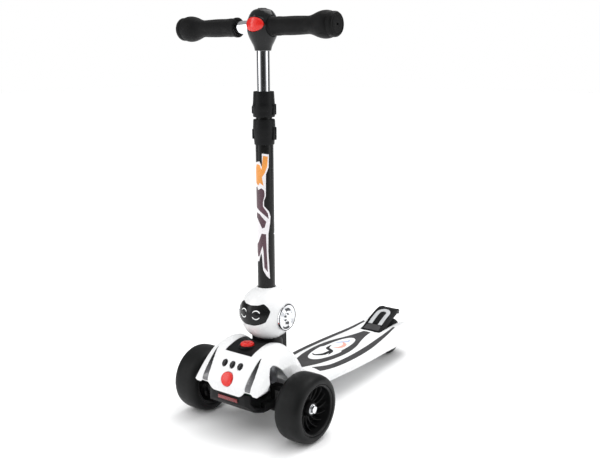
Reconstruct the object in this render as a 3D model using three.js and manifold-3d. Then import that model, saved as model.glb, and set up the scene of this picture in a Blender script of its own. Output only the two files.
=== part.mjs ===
// A child's three-wheel kick scooter, built as separate pieces.
// Units are millimetres. +Z is up, the scooter faces -Y, and +X is its own left-hand side.
// The pieces are laid out from the front axle's midpoint on the ground, and the whole assembly is
// then shifted so that the origin is at the bottom centre of its outer box.

import * as THREE from 'three';
import { mergeVertices } from 'three/addons/utils/BufferGeometryUtils.js';
import Module from 'manifold-3d';

const wasm = await Module();
wasm.setup();

// ---------------------------------------------------------------- driving dimensions

const joinGap = 0.3; // between two pieces that touch
const runGap = 0.4; // between two pieces that slide or turn on each other

// wheels
const frontWheelRadius = 60;
const frontWheelWidth = 52;
const track = 234; // between the middles of the front tyres
const rearWheelRadius = 40;
const rearWheelWidth = 40;
const wheelbase = 452;
const tyreDepth = 15.3; // tread to rim
const axleRadius = 4;
const bearingRadius = 9;
const hubRadius = 13.5;
const spokeCount = 16;
const wheelSides = 36;

// steering
const kingpinGap = 13; // kingpin to the tyre's inner side
const kingpinX = track / 2 - frontWheelWidth / 2 - kingpinGap;
const kingpinRadius = 4;
const knuckleRadius = 9;
const knuckleHeight = 32;
const lugThickness = 6.5;
const leanAxisZ = 110;
const leanPinRadius = 4;
const tieRodZ = 73; // middle of the tie rod
const steeringArm = 21; // kingpin to tie rod peg
const pegRadius = 2.5;
const pegGap = 1.2; // play round a steering peg, which swings while the rod slides straight

// stem
const stemY = 42;
const foldAxisZ = 134;
const foldPinRadius = 4;
const neckRadius = 27.5;
const neckTop = 157;
const footHalfWidth = 12;
const headRadius = 49.5;
const headZ = 198;
const headWall = 2.5;
const lowerTubeRadius = 15.5;
const lowerTubeBottom = 152;
const lowerTubeTop = 515;
const middleTubeBottom = 262;
const middleTubeTop = 583;
const upperTubeRadius = 11;
const upperTubeBottom = 330;
const tubeWall = 1.1;
const middleTubeRadius = lowerTubeRadius - tubeWall - runGap;
const lowerCollarBottom = 498;
const lowerCollarTop = 541.5;
const upperCollarBottom = 545;
const upperCollarTop = 588.5;
const collarRadius = 19.6; // at the bulge

// handlebar
const barZ = 695;
const hubBarRadius = 26.5;
const hubBarBottom = 655.6;
const hubBarTop = 725;
const hubButtonWidth = 36;
const hubButtonHeight = 26;
const hubButtonTravel = 2.5;
const crossTubeHalf = 98;
const gripLength = 134;
const gripBodyRadius = 14.5;
const gripBulbRadius = 22.3;
const gripHome = 18.3; // inner end of a grip that is pushed home
const gripPulledOut = 35.2; // how far the right grip stands out of home

// deck
const deckFront = 62;
const deckOverhang = 48; // behind the rear axle
const deckRear = wheelbase + deckOverhang;
const deckHalfWidth = 67;
const deckCrown = 68;
const deckUnderside = 44;
const deckWall = 3.2;
const inlayDepth = 1.2;
const wellGap = 5.5; // beside the rear tyre
const wellHalfWidth = rearWheelWidth / 2 + wellGap;
const wellReach = 66.5; // rear axle to the front of the well
const wellFront = wheelbase - wellReach;
const cheekThickness = 7;

// brake
const pedalGap = 1.5; // to the well's sides
const pedalHalfWidth = wellHalfWidth - pedalGap;
const pedalThickness = 3.6;
const brakePinReach = 59; // rear axle to the brake pin
const brakePinRise = 18; // from the rear axle up to the brake pin
const brakePinY = wheelbase - brakePinReach;
const brakePinHalf = wellHalfWidth + cheekThickness - 1.5;
const brakePinZ = rearWheelRadius + brakePinRise;
const brakePinRadius = 3;
const brakeGap = 5; // between the pad and the tyre when the brake is off

// fairing
const fairingWall = 3.2;
const coverHalfWidth = 30;
const coverFront = -38;
const powerButtonRadius = 12.2;
const modeButtonSpacing = 17.4;
const buttonReach = 10;
const foldButtonRadius = 12;
const foldButtonY = -13.5;

// ---------------------------------------------------------------- materials

function material(colour, roughness, metalness = 0) {
  return new THREE.MeshStandardMaterial({ color: colour, roughness, metalness });
}

const whitePlastic = material('#eceeed', 0.28);
const blackPlastic = material('#17181a', 0.42);
const glossBlack = material('#0d0e10', 0.12);
const redPlastic = material('#e22a1c', 0.3);
const chrome = material('#d9dce0', 0.1, 1);
const steel = material('#a9adb2', 0.35, 1);
const blackTube = material('#15140f', 0.25, 0.3);
const tyreBlack = material('#1e2021', 0.55);
const gripRubber = material('#161617', 0.75);
const deckGrip = material('#4d4e50', 0.9);
const smokedLens = material('#3a3b3d', 0.1);
const eyeWhite = material('#f4f6f6', 0.35);
const reflectorRed = material('#c01520', 0.15);
const circuitGreen = material('#1f5a3a', 0.6);

// ---------------------------------------------------------------- shape tools

// A closed, outward-facing solid from a geometry whose vertices are not yet shared.
function toSolid(geometry) {
  const bare = geometry.clone();
  bare.deleteAttribute('normal');
  bare.deleteAttribute('uv');
  const merged = mergeVertices(bare, 1e-4);
  const points = merged.getAttribute('position').array;
  const corners = Array.from(merged.getIndex().array);
  const triangles = [];
  let volume = 0;
  for (let i = 0; i < corners.length; i += 3) {
    const [a, b, c] = corners.slice(i, i + 3);
    if (a === b || b === c || c === a) {
      continue;
    }
    const pa = new THREE.Vector3().fromArray(points, 3 * a);
    const pb = new THREE.Vector3().fromArray(points, 3 * b);
    const pc = new THREE.Vector3().fromArray(points, 3 * c);
    volume += pa.dot(pb.cross(pc));
    triangles.push([a, b, c]);
  }
  const facing = volume < 0 ? triangles.map(([a, b, c]) => [a, c, b]) : triangles;
  return new wasm.Manifold(new wasm.Mesh({
    numProp: 3,
    vertProperties: new Float32Array(points),
    triVerts: new Uint32Array(facing.flat()),
  }));
}

function toGeometry(solid) {
  const mesh = solid.getMesh();
  const geometry = new THREE.BufferGeometry();
  geometry.setAttribute('position', new THREE.BufferAttribute(new Float32Array(mesh.vertProperties), 3));
  geometry.setIndex(new THREE.BufferAttribute(new Uint32Array(mesh.triVerts), 1));
  return geometry;
}

function join(...geometries) {
  return toGeometry(geometries.map(toSolid).reduce((whole, piece) => whole.add(piece)));
}

function cut(geometry, ...tools) {
  return toGeometry(tools.map(toSolid).reduce((whole, tool) => whole.subtract(tool), toSolid(geometry)));
}

function common(first, second) {
  return toGeometry(toSolid(first).intersect(toSolid(second)));
}

function mirrored(geometry) {
  return toGeometry(toSolid(geometry.clone().scale(-1, 1, 1)));
}

function box(x0, x1, y0, y1, z0, z1) {
  const block = new THREE.BoxGeometry(x1 - x0, y1 - y0, z1 - z0);
  return block.translate((x0 + x1) / 2, (y0 + y1) / 2, (z0 + z1) / 2);
}

// A round bar along x, y or z, from one end to the other; at holds the other two coordinates.
function rod(axis, radius, from, to, at, sides = 16) {
  const bar = new THREE.CylinderGeometry(radius, radius, to - from, sides);
  const middle = (from + to) / 2;
  if (axis === 'x') {
    return bar.rotateZ(-Math.PI / 2).translate(middle, at[0], at[1]);
  }
  if (axis === 'y') {
    return bar.translate(at[0], middle, at[1]);
  }
  return bar.rotateX(Math.PI / 2).translate(at[0], at[1], middle);
}

function pipe(axis, outer, inner, from, to, at, sides = 24) {
  return cut(rod(axis, outer, from, to, at, sides), rod(axis, inner, from - 1, to + 1, at, sides));
}

// A body of revolution about Z from [radius, height] points that close on themselves or the axis.
function turned(profile, sides = 24) {
  const points = profile.map(([radius, height]) => new THREE.Vector2(radius, height));
  return new THREE.LatheGeometry(points, sides).rotateX(Math.PI / 2);
}

// The same about X, with [radius, x] points.
function turnedX(profile, sides = 24) {
  return turned(profile, sides).rotateY(Math.PI / 2);
}

// An outline pushed along an axis. Its points are (x, y) for z, (x, z) for y and (y, z) for x.
function prism(axis, outline, from, to) {
  const shape = new THREE.Shape(outline.map(([a, b]) => new THREE.Vector2(a, b)));
  const solid = new THREE.ExtrudeGeometry(shape, { depth: to - from, bevelEnabled: false });
  if (axis === 'x') {
    const turn = new THREE.Matrix4().makeBasis(
      new THREE.Vector3(0, 1, 0), new THREE.Vector3(0, 0, 1), new THREE.Vector3(1, 0, 0));
    return solid.applyMatrix4(turn).translate(from, 0, 0);
  }
  if (axis === 'y') {
    return solid.rotateX(Math.PI / 2).translate(0, to, 0);
  }
  return solid.translate(0, 0, from);
}

function ellipse(halfA, halfB, centre = [0, 0], sides = 20) {
  const points = [];
  for (let i = 0; i < sides; i += 1) {
    const turn = (2 * Math.PI * i) / sides;
    points.push([centre[0] + halfA * Math.cos(turn), centre[1] + halfB * Math.sin(turn)]);
  }
  return points;
}

// A skin over cross-sections with the same number of points, closed by a fan at each end.
function loft(sections) {
  const count = sections[0].length;
  const positions = sections.flat(2);
  const index = [];
  for (let s = 0; s + 1 < sections.length; s += 1) {
    for (let i = 0; i < count; i += 1) {
      const a = s * count + i;
      const b = s * count + ((i + 1) % count);
      index.push(a, b, a + count, b, b + count, a + count);
    }
  }
  const last = (sections.length - 1) * count;
  const ends = [sections[0], sections[sections.length - 1]];
  for (const section of ends) {
    const sum = section.reduce((total, point) => total.map((value, k) => value + point[k]), [0, 0, 0]);
    positions.push(...sum.map((value) => value / count));
  }
  const firstHub = sections.length * count;
  for (let i = 0; i < count; i += 1) {
    const next = (i + 1) % count;
    index.push(firstHub, next, i, firstHub + 1, last + i, last + next);
  }
  const geometry = new THREE.BufferGeometry();
  geometry.setAttribute('position', new THREE.BufferAttribute(new Float32Array(positions), 3));
  geometry.setIndex(index);
  return geometry;
}

// A closed cross-section at y from one half's [x, z] points, which run from the middle outwards.
function symmetric(y, half) {
  const right = half.map(([x, z]) => [x, y, z]);
  const left = half.filter(([x]) => x > 0).reverse().map(([x, z]) => [-x, y, z]);
  return [...right, ...left];
}

function ball(radius, centre, around = 24, up = 16) {
  return new THREE.SphereGeometry(radius, around, up).rotateX(Math.PI / 2).translate(...centre);
}

// Straight-line reading of a table of [position, value...] rows.
function reading(rows, position, column) {
  const clamped = Math.min(Math.max(position, rows[0][0]), rows[rows.length - 1][0]);
  const upper = Math.max(1, rows.findIndex((row) => row[0] >= clamped));
  const [a, b] = [rows[upper - 1], rows[upper]];
  return a[column] + ((b[column] - a[column]) * (clamped - a[0])) / (b[0] - a[0]);
}

// ---------------------------------------------------------------- assembly

const scooter = new THREE.Group();

function add(name, geometry, finish) {
  const mesh = new THREE.Mesh(toGeometry(toSolid(geometry)), finish);
  mesh.name = name;
  scooter.add(mesh);
}

// ---------------------------------------------------------------- wheels

// A wide tyre with rounded shoulders, about X, centred on x = 0.
function tyre(radius, width) {
  const bead = radius - tyreDepth;
  const half = width / 2;
  const outer = [];
  const steps = 10;
  for (let i = 0; i <= steps; i += 1) {
    const turn = Math.PI * (i / steps);
    const reach = Math.abs(Math.cos(turn)) ** 0.55 * Math.sign(Math.cos(turn));
    const rise = Math.sin(turn) ** 0.75;
    outer.push([bead + 2 + (tyreDepth - 2) * rise, -half * reach]);
  }
  const profile = [[bead, half - 3], [bead, 3 - half], ...outer, [bead, half - 3]];
  return turnedX(profile, wheelSides);
}

// A dished rim with thin spokes; its hub runs from hubIn to hubOut along X.
function rim(radius, width, hubIn, hubOut, spokeAt) {
  const outer = radius - tyreDepth - joinGap;
  const half = width / 2 - 1.5;
  const ring = pipe('x', outer, outer - 3.4, -half, half, [0, 0], wheelSides);
  const hub = rod('x', hubRadius, hubIn, hubOut, [0, 0], 20);
  const spokes = [];
  for (let i = 0; i < spokeCount; i += 1) {
    const spoke = box(spokeAt - 6, spokeAt + 6, -1.2, 1.2, hubRadius - 1.5, outer - 2);
    spokes.push(spoke.rotateX((2 * Math.PI * i) / spokeCount));
  }
  const bore = rod('x', bearingRadius + joinGap, hubIn - 1, hubOut + 1, [0, 0], 20);
  return cut(join(ring, hub, ...spokes), bore);
}

function bearing(hubIn, hubOut) {
  return pipe('x', bearingRadius, axleRadius + joinGap, hubIn + 0.5, hubOut - 0.5, [0, 0], 20);
}

const hubDepthIn = 5; // from the tyre's inner side to the hub's end
const hubDepthOut = 11;
const frontHubIn = hubDepthIn - frontWheelWidth / 2; // from the tyre's middle, towards the scooter
const frontHubOut = frontWheelWidth / 2 - hubDepthOut;
const frontWheelX = track / 2;

function frontWheel(side, sign) {
  const place = (geometry) => {
    const placed = geometry.translate(frontWheelX, 0, frontWheelRadius);
    return sign > 0 ? placed : mirrored(placed);
  };
  add(`front_tyre_${side}`, place(tyre(frontWheelRadius, frontWheelWidth)), tyreBlack);
  const body = rim(frontWheelRadius, frontWheelWidth, frontHubIn, frontHubOut, 2);
  add(`front_rim_${side}`, place(body), blackPlastic);
  add(`front_bearing_${side}`, place(bearing(frontHubIn, frontHubOut)), chrome);
}

const rearHubHalf = rearWheelWidth / 2 + 2.5;

function rearWheel() {
  const place = (geometry) => geometry.translate(0, wheelbase, rearWheelRadius);
  add('rear_tyre', place(tyre(rearWheelRadius, rearWheelWidth)), tyreBlack);
  const body = rim(rearWheelRadius, rearWheelWidth, -rearHubHalf, rearHubHalf, 0);
  add('rear_rim', place(body), blackPlastic);
  add('rear_bearing', place(bearing(-rearHubHalf, rearHubHalf)), chrome);
}

// ---------------------------------------------------------------- front suspension

const knuckleBottom = frontWheelRadius - 13;
const knuckleTop = knuckleBottom + knuckleHeight;
const armTop = tieRodZ - 3.5;
const axleHeadX = frontWheelX + frontHubOut + joinGap;

function knuckle() {
  const barrel = rod('z', knuckleRadius, knuckleBottom, knuckleTop, [kingpinX, 0]);
  const bossEnd = frontWheelX + frontHubIn - 1.5;
  const boss = rod('x', knuckleRadius - 1, kingpinX, bossEnd, [0, frontWheelRadius]);
  const arm = join(
    box(kingpinX - 5, kingpinX + 5, 0, steeringArm, armTop - 5.5, armTop),
    rod('z', 6.5, armTop - 5.5, armTop, [kingpinX, steeringArm]));
  const peg = rod('z', pegRadius, armTop - 1, tieRodZ + 4.5, [kingpinX, steeringArm], 16);
  const pinHole = rod('z', kingpinRadius + runGap, knuckleBottom - 1, knuckleTop + 1, [kingpinX, 0]);
  const axleHole = rod('x', axleRadius + joinGap, kingpinX + 5.5, bossEnd + 1, [0, frontWheelRadius]);
  return cut(join(barrel, boss, arm, peg), pinHole, axleHole);
}

function axleBolt() {
  const shank = rod('x', axleRadius, kingpinX + 6, axleHeadX + 1, [0, frontWheelRadius]);
  const head = rod('x', 7, axleHeadX, axleHeadX + 4.5, [0, frontWheelRadius], 6);
  return join(shank, head);
}

function kingpin() {
  const bottom = knuckleBottom - lugThickness - 1;
  const top = knuckleTop + lugThickness + 0.8;
  const shank = rod('z', kingpinRadius, bottom, top + 1, [kingpinX, 0]);
  const head = rod('z', 6.5, top, top + 4, [kingpinX, 0], 6);
  return join(shank, head);
}

function tieRod() {
  const bottom = tieRodZ - 3;
  const top = tieRodZ + 3;
  const bar = box(-kingpinX, kingpinX, steeringArm - 4, steeringArm + 4, bottom, top);
  const eyes = [-1, 1].map((sign) => rod('z', 6.5, bottom, top, [sign * kingpinX, steeringArm]));
  const boss = rod('z', 10, bottom, top, [0, steeringArm]);
  const slot = box(-5, 5, steeringArm - 4.4, steeringArm + 4.4, bottom - 1, top + 1);
  const holes = [-1, 1].map((sign) =>
    rod('z', pegRadius + pegGap, bottom - 1, top + 1, [sign * kingpinX, steeringArm], 20));
  return cut(join(bar, ...eyes, boss), slot, ...holes);
}

// The black moulding under the fairing, with a fork each side for its knuckle.
function lowerChassis() {
  const keel = prism('x', [
    [-66.5, 64], [-66.5, 84], [-62, 84], [-62, 68], [-55, 58.5], [-38, 53.5],
    [deckFront - 1, 50.5], [deckFront - 1, 44.2], [-36, 46], [-58, 53],
  ], -54, 54);
  const tongue = box(-40, 40, 36, 112, 38.5, deckUnderside - joinGap);
  const bridge = box(-40, 40, 36, deckFront - 1, 38.5, 48);
  const lowerLug = knuckleBottom - 0.5;
  const upperLug = knuckleTop + 0.5;
  const forks = [-1, 1].flatMap((sign) => {
    const sides = (a, b) => [Math.min(sign * a, sign * b), Math.max(sign * a, sign * b)];
    const post = box(...sides(47, 58), -9, 9, 46, upperLug + lugThickness);
    const plates = [lowerLug - lugThickness, upperLug].flatMap((bottom) => [
      box(...sides(46, kingpinX), -9, 9, bottom, bottom + lugThickness),
      rod('z', 9, bottom, bottom + lugThickness, [sign * kingpinX, 0]),
    ]);
    const rib = box(...sides(46, 57.5), -34, 34, 48, 62);
    return [post, ...plates, rib];
  });
  const holes = [-1, 1].map((sign) =>
    rod('z', kingpinRadius + joinGap, 30, 100, [sign * kingpinX, 0]));
  const lip = prism('z', keelPlan(), 40, 90);
  const shaped = join(common(keel, lip), tongue, bridge, ...forks);
  return cut(shaped, ...holes);
}

// The keel's plan view, rounded at the front corners.
function keelPlan() {
  const front = [];
  const steps = 8;
  for (let i = 0; i <= steps; i += 1) {
    const turn = (Math.PI / 2) * (i / steps);
    front.push([34 + 20 * Math.sin(turn), -47 - 19.5 * Math.cos(turn)]);
  }
  const right = [...front, [54, deckFront]];
  const left = right.slice().reverse().map(([x, y]) => [-x, y]);
  return [...right, ...left];
}

// Two uprights on a foot, which carry the lean pin.
function steeringBase() {
  const foot = box(-16, 16, 1, 58, 52.4, 58);
  const uprights = [[1, 8], [51.5, 58]].flatMap(([from, to]) => [
    box(-10, 10, from, to, 57, leanAxisZ),
    rod('y', 8, from, to, [0, leanAxisZ]),
  ]);
  const hole = rod('y', leanPinRadius + joinGap, 0, 60, [0, leanAxisZ]);
  return cut(join(foot, ...uprights), hole);
}

// ---------------------------------------------------------------- steering neck

// The room that the ball-shaped head sweeps through as the stem folds back.
function headSweep(clearance) {
  const reach = headZ - foldAxisZ;
  const stops = [0, 17, 34, 51, 68, 86];
  return stops.map((degrees) => {
    const turn = THREE.MathUtils.degToRad(degrees);
    const centre = [0, stemY + reach * Math.sin(turn), foldAxisZ + reach * Math.cos(turn)];
    return ball(headRadius + clearance, centre, 20, 14);
  });
}

function steeringYoke() {
  const cup = rod('z', neckRadius, foldAxisZ - 10, neckTop, [0, stemY], 28);
  const barrel = rod('y', 10, 9, 50.5, [0, leanAxisZ]);
  const web = box(-12, 12, 20, 50, leanAxisZ, foldAxisZ - 8);
  const finger = box(-4, 4, steeringArm - 3.5, steeringArm + 3.5, tieRodZ - 4.5, leanAxisZ - 5);
  const body = join(cup, barrel, web, finger);
  const leanHole = rod('y', leanPinRadius + runGap, 0, 60, [0, leanAxisZ]);
  const foldHole = rod('x', foldPinRadius + joinGap, -40, 40, [stemY, foldAxisZ]);
  const slot = box(
    -footHalfWidth - 0.5, footHalfWidth + 0.5, stemY - 13, stemY + 40, foldAxisZ - 12.4, neckTop + 5);
  return cut(body, leanHole, foldHole, slot, ...headSweep(2));
}

// The hinged foot that plugs into the bottom of the stem.
function stemFoot() {
  const knuckleBarrel = rod('x', 11.5, -footHalfWidth, footHalfWidth, [stemY, foldAxisZ], 20);
  const shankTop = lowerTubeBottom - joinGap;
  const shank = rod('z', footHalfWidth, foldAxisZ, shankTop + 1, [0, stemY], 20);
  const plug = rod('z', lowerTubeRadius - tubeWall - joinGap, shankTop, lowerTubeBottom + 48, [0, stemY], 20);
  const hole = rod('x', foldPinRadius + runGap, -20, 20, [stemY, foldAxisZ]);
  return cut(join(knuckleBarrel, shank, plug), hole);
}

// ---------------------------------------------------------------- head

const headCentre = [0, stemY, headZ];
const visorPoints = [
  [0, 22.6], [14, 23.6], [22.4, 26.6], [29.6, 21.4], [35, 14], [33.4, 5], [29.5, -4.8], [21, -9.2],
  [10, -12.4], [-10, -12.4], [-21, -9.2], [-29.5, -4.8], [-33.4, 5], [-35, 14], [-29.6, 21.4],
  [-22.4, 26.6], [-14, 23.6],
];
const earRadius = 24;
const earInner = 41.5;
const earZ = headZ - 2.5;
const visorProud = 0.5;
const eyeX = 13.6;
const eyeZ = 7.4;
const eyeRadius = 8.2;
const eyeBand = 1.6;

function scaledAbout(points, centre, growth) {
  return points.map(([a, b]) => {
    const length = Math.hypot(a - centre[0], b - centre[1]);
    const factor = (length + growth) / length;
    return [centre[0] + (a - centre[0]) * factor, centre[1] + (b - centre[1]) * factor];
  });
}

function visorPrism(growth) {
  const outline = scaledAbout(visorPoints, [0, 7], growth).map(([x, z]) => [x, z + headZ]);
  return prism('y', outline, stemY - 60, stemY - lowerTubeRadius + 0.5);
}

function headShell(sign) {
  const hollow = cut(ball(headRadius, headCentre), ball(headRadius - headWall, headCentre, 16, 12));
  const sleeve = rod('z', lowerTubeRadius + 3, headZ - 44, headZ + 44, [0, stemY], 20);
  const bore = rod('z', lowerTubeRadius + joinGap, lowerTubeBottom - 0.5, headZ + 60, [0, stemY], 24);
  const footHoleRadius = Math.max(footHalfWidth + 2, lowerTubeRadius - 1.5);
  const footHole = rod('z', footHoleRadius, headZ - 60, lowerTubeBottom + 4, [0, stemY], 20);
  const near = joinGap / 2;
  const half = sign < 0
    ? box(-60, 60, stemY - 60, stemY - near, headZ - 60, headZ + 60)
    : box(-60, 60, stemY + near, stemY + 60, headZ - 60, headZ + 60);
  const web = box(1 - earInner, earInner - 1, stemY - 3, stemY + 3, headZ - 24, headZ - 20);
  const earSeats = [-1, 1].map((side) => {
    const ends = [side * (earInner - 0.4), side * 60].sort((a, b) => a - b);
    return rod('x', earRadius + joinGap, ...ends, [stemY, earZ], 28);
  });
  const earCups = [-1, 1].map((side) => {
    const ends = [side * (earInner - 3), side * (earInner - 0.4)].sort((a, b) => a - b);
    return rod('x', earRadius - 3, ...ends, [stemY, earZ], 20);
  });
  const lining = ball(headRadius - headWall + 0.8, headCentre, 16, 12);
  const inside = common(join(sleeve, web, ...earCups), lining);
  const whole = cut(join(cut(hollow, ...earSeats), inside), bore, footHole);
  const shell = common(whole, half);
  return sign < 0 ? cut(shell, visorPrism(joinGap)) : shell;
}

function visor() {
  const skin = cut(ball(headRadius + visorProud, headCentre), ball(headRadius - headWall, headCentre));
  return common(skin, visorPrism(0));
}

function eyeRing(sign) {
  const inner = headRadius + visorProud + joinGap;
  const skin = cut(ball(inner + 0.8, headCentre), ball(inner, headCentre));
  const at = [sign * eyeX, headZ + eyeZ];
  const outline = prism('y', ellipse(eyeRadius, eyeRadius, at), stemY - 60, stemY - 20);
  const hole = prism('y', ellipse(eyeRadius - eyeBand, eyeRadius - eyeBand, at), stemY - 61, stemY - 19);
  return cut(common(skin, outline), hole);
}

function ear() {
  const outer = earInner + 5;
  const profile = [
    [0, earInner], [earRadius - 0.4, earInner], [earRadius, earInner + 1], [earRadius, outer - 2],
    [earRadius - 2.5, outer], [earRadius - 6, outer - 0.6], [12, outer + 1.6], [6, outer + 2.4],
    [0, outer + 2.4],
  ];
  return turnedX(profile, 24).translate(0, stemY, earZ);
}

// ---------------------------------------------------------------- stem tubes and collars

function stemPipe(outer, bottom, top) {
  return pipe('z', outer, outer - tubeWall, bottom, top, [0, stemY]);
}

function lowerCollar() {
  const step = lowerTubeTop + 1.5;
  const profile = [
    [lowerTubeRadius + runGap, lowerCollarBottom], [collarRadius - 2.4, lowerCollarBottom],
    [collarRadius - 0.3, lowerCollarBottom + 27], [collarRadius - 0.9, lowerCollarTop],
    [middleTubeRadius + runGap, lowerCollarTop], [middleTubeRadius + runGap, step],
    [lowerTubeRadius + runGap, step], [lowerTubeRadius + runGap, lowerCollarBottom],
  ];
  return turned(profile).translate(0, stemY, 0);
}

function upperCollar() {
  const step = middleTubeTop + 1.5;
  const profile = [
    [middleTubeRadius + runGap, upperCollarBottom], [collarRadius - 0.6, upperCollarBottom],
    [collarRadius + 0.2, upperCollarBottom + 17], [collarRadius - 2, upperCollarTop],
    [upperTubeRadius + runGap, upperCollarTop], [upperTubeRadius + runGap, step],
    [middleTubeRadius + runGap, step], [middleTubeRadius + runGap, upperCollarBottom],
  ];
  return turned(profile).translate(0, stemY, 0);
}

// ---------------------------------------------------------------- handlebar

const capSeam = hubBarTop - 13;
const hubButtonFront = stemY - hubBarRadius - 1;

function hubBody(bottom, top) {
  const profile = [
    [0, hubBarBottom], [13.8, hubBarBottom], [18.5, barZ - 28], [24, barZ - 16],
    [hubBarRadius, barZ - 4], [hubBarRadius, barZ + 5], [22.8, barZ + 17], [16, hubBarTop - 4.5],
    [7, hubBarTop - 0.8], [0, hubBarTop],
  ];
  const whole = turned(profile).translate(0, stemY, 0);
  return common(whole, box(-60, 60, stemY - 60, stemY + 60, bottom, top));
}

function hubShell() {
  const body = hubBody(hubBarBottom - 1, capSeam - joinGap);
  const stemBore = rod('z', upperTubeRadius + joinGap, hubBarBottom - 1, barZ, [0, stemY], 24);
  const barBore = rod('x', upperTubeRadius + joinGap, -60, 60, [stemY, barZ], 24);
  const seats = [-1, 1].map((sign) => {
    const ends = [sign * (gripHome - 0.8), sign * 60].sort((a, b) => a - b);
    return rod('x', 17.5, ...ends, [stemY, barZ], 24);
  });
  const grown = ellipse(hubButtonWidth / 2 + runGap, hubButtonHeight / 2 + runGap, [0, barZ + 3]);
  const pocket = prism('y', grown, 0, stemY - upperTubeRadius - 1.5);
  return cut(body, stemBore, barBore, pocket, ...seats);
}

function hubButton() {
  const outline = ellipse(hubButtonWidth / 2, hubButtonHeight / 2, [0, barZ + 3]);
  const back = stemY - upperTubeRadius - 1.5 - hubButtonTravel - 0.5;
  const block = prism('y', outline, hubButtonFront - 4, back);
  const dome = ball(60, [0, hubButtonFront + 60, barZ + 3], 32, 20);
  return common(block, dome);
}

// A grip about X with its inner end at x = 0, closed at its outer end.
function grip() {
  const bore = upperTubeRadius + runGap;
  const end = gripLength;
  const profile = [
    [bore, 0], [16.2, 0], [16.6, 3], [15.4, 6], [15.2, 18], [gripBodyRadius, 24],
    [gripBodyRadius + 0.4, 50], [gripBodyRadius, 84], [gripBodyRadius + 0.8, 92],
    [20.4, end - 42], [gripBulbRadius, end - 30], [gripBulbRadius, end - 18],
    [20.8, end - 12], [20.2, end - 10], [20.8, end - 8.5], [20.6, end - 3], [18, end],
    [0, end], [0, crossTubeHalf - gripHome + 3], [bore, crossTubeHalf - gripHome + 3], [bore, 0],
  ];
  return turnedX(profile, 24).translate(0, stemY, barZ);
}

// ---------------------------------------------------------------- deck

// Rows: share of the deck's length, half-width share, then heights over the underside of the
// crown, the stripe line, the shoulder and the edge, and how far the skirt drops below it.
const deckRows = [
  [0, 0.9, 24, 20.5, 19, 16, 0],
  [0.11, 0.92, 24, 20.5, 19, 16, 0],
  [0.25, 0.97, 24, 20.5, 19, 16, 0],
  [0.4, 1, 24, 20.5, 19, 16, 1],
  [0.55, 0.96, 24, 21, 20, 17, 3.5],
  [0.7, 0.87, 24, 23, 22.5, 19, 7],
  [0.78, 0.83, 24.5, 26, 26, 22, 9],
  [0.86, 0.8, 25, 30, 30.5, 26, 11],
  [0.92, 0.73, 24, 29, 29.5, 25, 11],
  [0.97, 0.6, 20, 24, 25, 20, 7],
  [1, 0.42, 17, 20, 20, 16, 0],
];

function deckSections(inset, drop) {
  const length = deckRear - deckFront;
  return deckRows.map(([share, widthShare, crown, stripe, shoulder, edge, skirt], i) => {
    const atEnd = i === 0 ? inset : i === deckRows.length - 1 ? -inset : 0;
    const half = deckHalfWidth * widthShare - inset;
    const z = (height) => deckUnderside + height - drop;
    const under = drop > 0 ? deckUnderside - 30 : deckUnderside - skirt + drop;
    return symmetric(deckFront + share * length + atEnd, [
      [0, z(crown)], [half * 0.3, z(crown - 0.4)], [half * 0.55, z((crown + stripe) / 2 + 0.6)],
      [half * 0.74, z(stripe)], [half * 0.9, z(shoulder)], [half * 0.985, z(edge)],
      [half, z(edge - 6)], [half * 0.975, under],
    ]);
  });
}

const deckOuter = loft(deckSections(0, 0));
const deckGrown = loft(deckSections(-joinGap - 0.1, -joinGap - 0.1));

const patternLength = 438; // of the deck that these rows were laid out on

// Stretches rows of [distance behind the front axle, ...] to the deck's own length.
function alongDeck(rows) {
  const stretch = (deckRear - deckFront) / patternLength;
  return rows.map(([y, ...rest]) => [deckFront + (y - deckFront) * stretch, ...rest]);
}

const inlayRows = alongDeck([
  [128, 12], [160, 25], [200, 34], [245, 37], [285, 32], [320, 21], [350, 13], [377, 8.5],
]);
const stripeRows = alongDeck([
  [140, 27, 47], [158, 37, 53], [180, 44, 57.5], [235, 47, 60.5], [300, 44.5, 58], [370, 38.5, 48.5],
  [424, 35.5, 40.5],
]);

function inlayOutline(growth) {
  const first = inlayRows[0];
  const last = inlayRows[inlayRows.length - 1];
  const right = [
    [first[1] + growth, first[0] - growth],
    ...inlayRows.slice(1, -1).map(([y, half]) => [half + growth, y]),
    [last[1] + growth, last[0] + growth],
  ];
  return [...right, ...right.slice().reverse().map(([x, y]) => [-x, y])];
}

function stripeOutline(growth) {
  const last = stripeRows.length - 1;
  const y = (row, i) => row[0] + (i === 0 ? -growth : i === last ? growth : 0);
  const inner = stripeRows.map((row, i) => [row[1] - growth, y(row, i)]);
  const outer = stripeRows.map((row, i) => [row[2] + growth, y(row, i)]);
  return [...inner, ...outer.reverse()];
}

// An outline pushed up through the deck's top, down to a floor that follows the crown.
function deckInset(outline, depth) {
  const floor = loft(deckSections(0, 0)).translate(0, 0, -depth);
  return cut(prism('z', outline, deckUnderside + 6, 100), floor);
}

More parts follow.
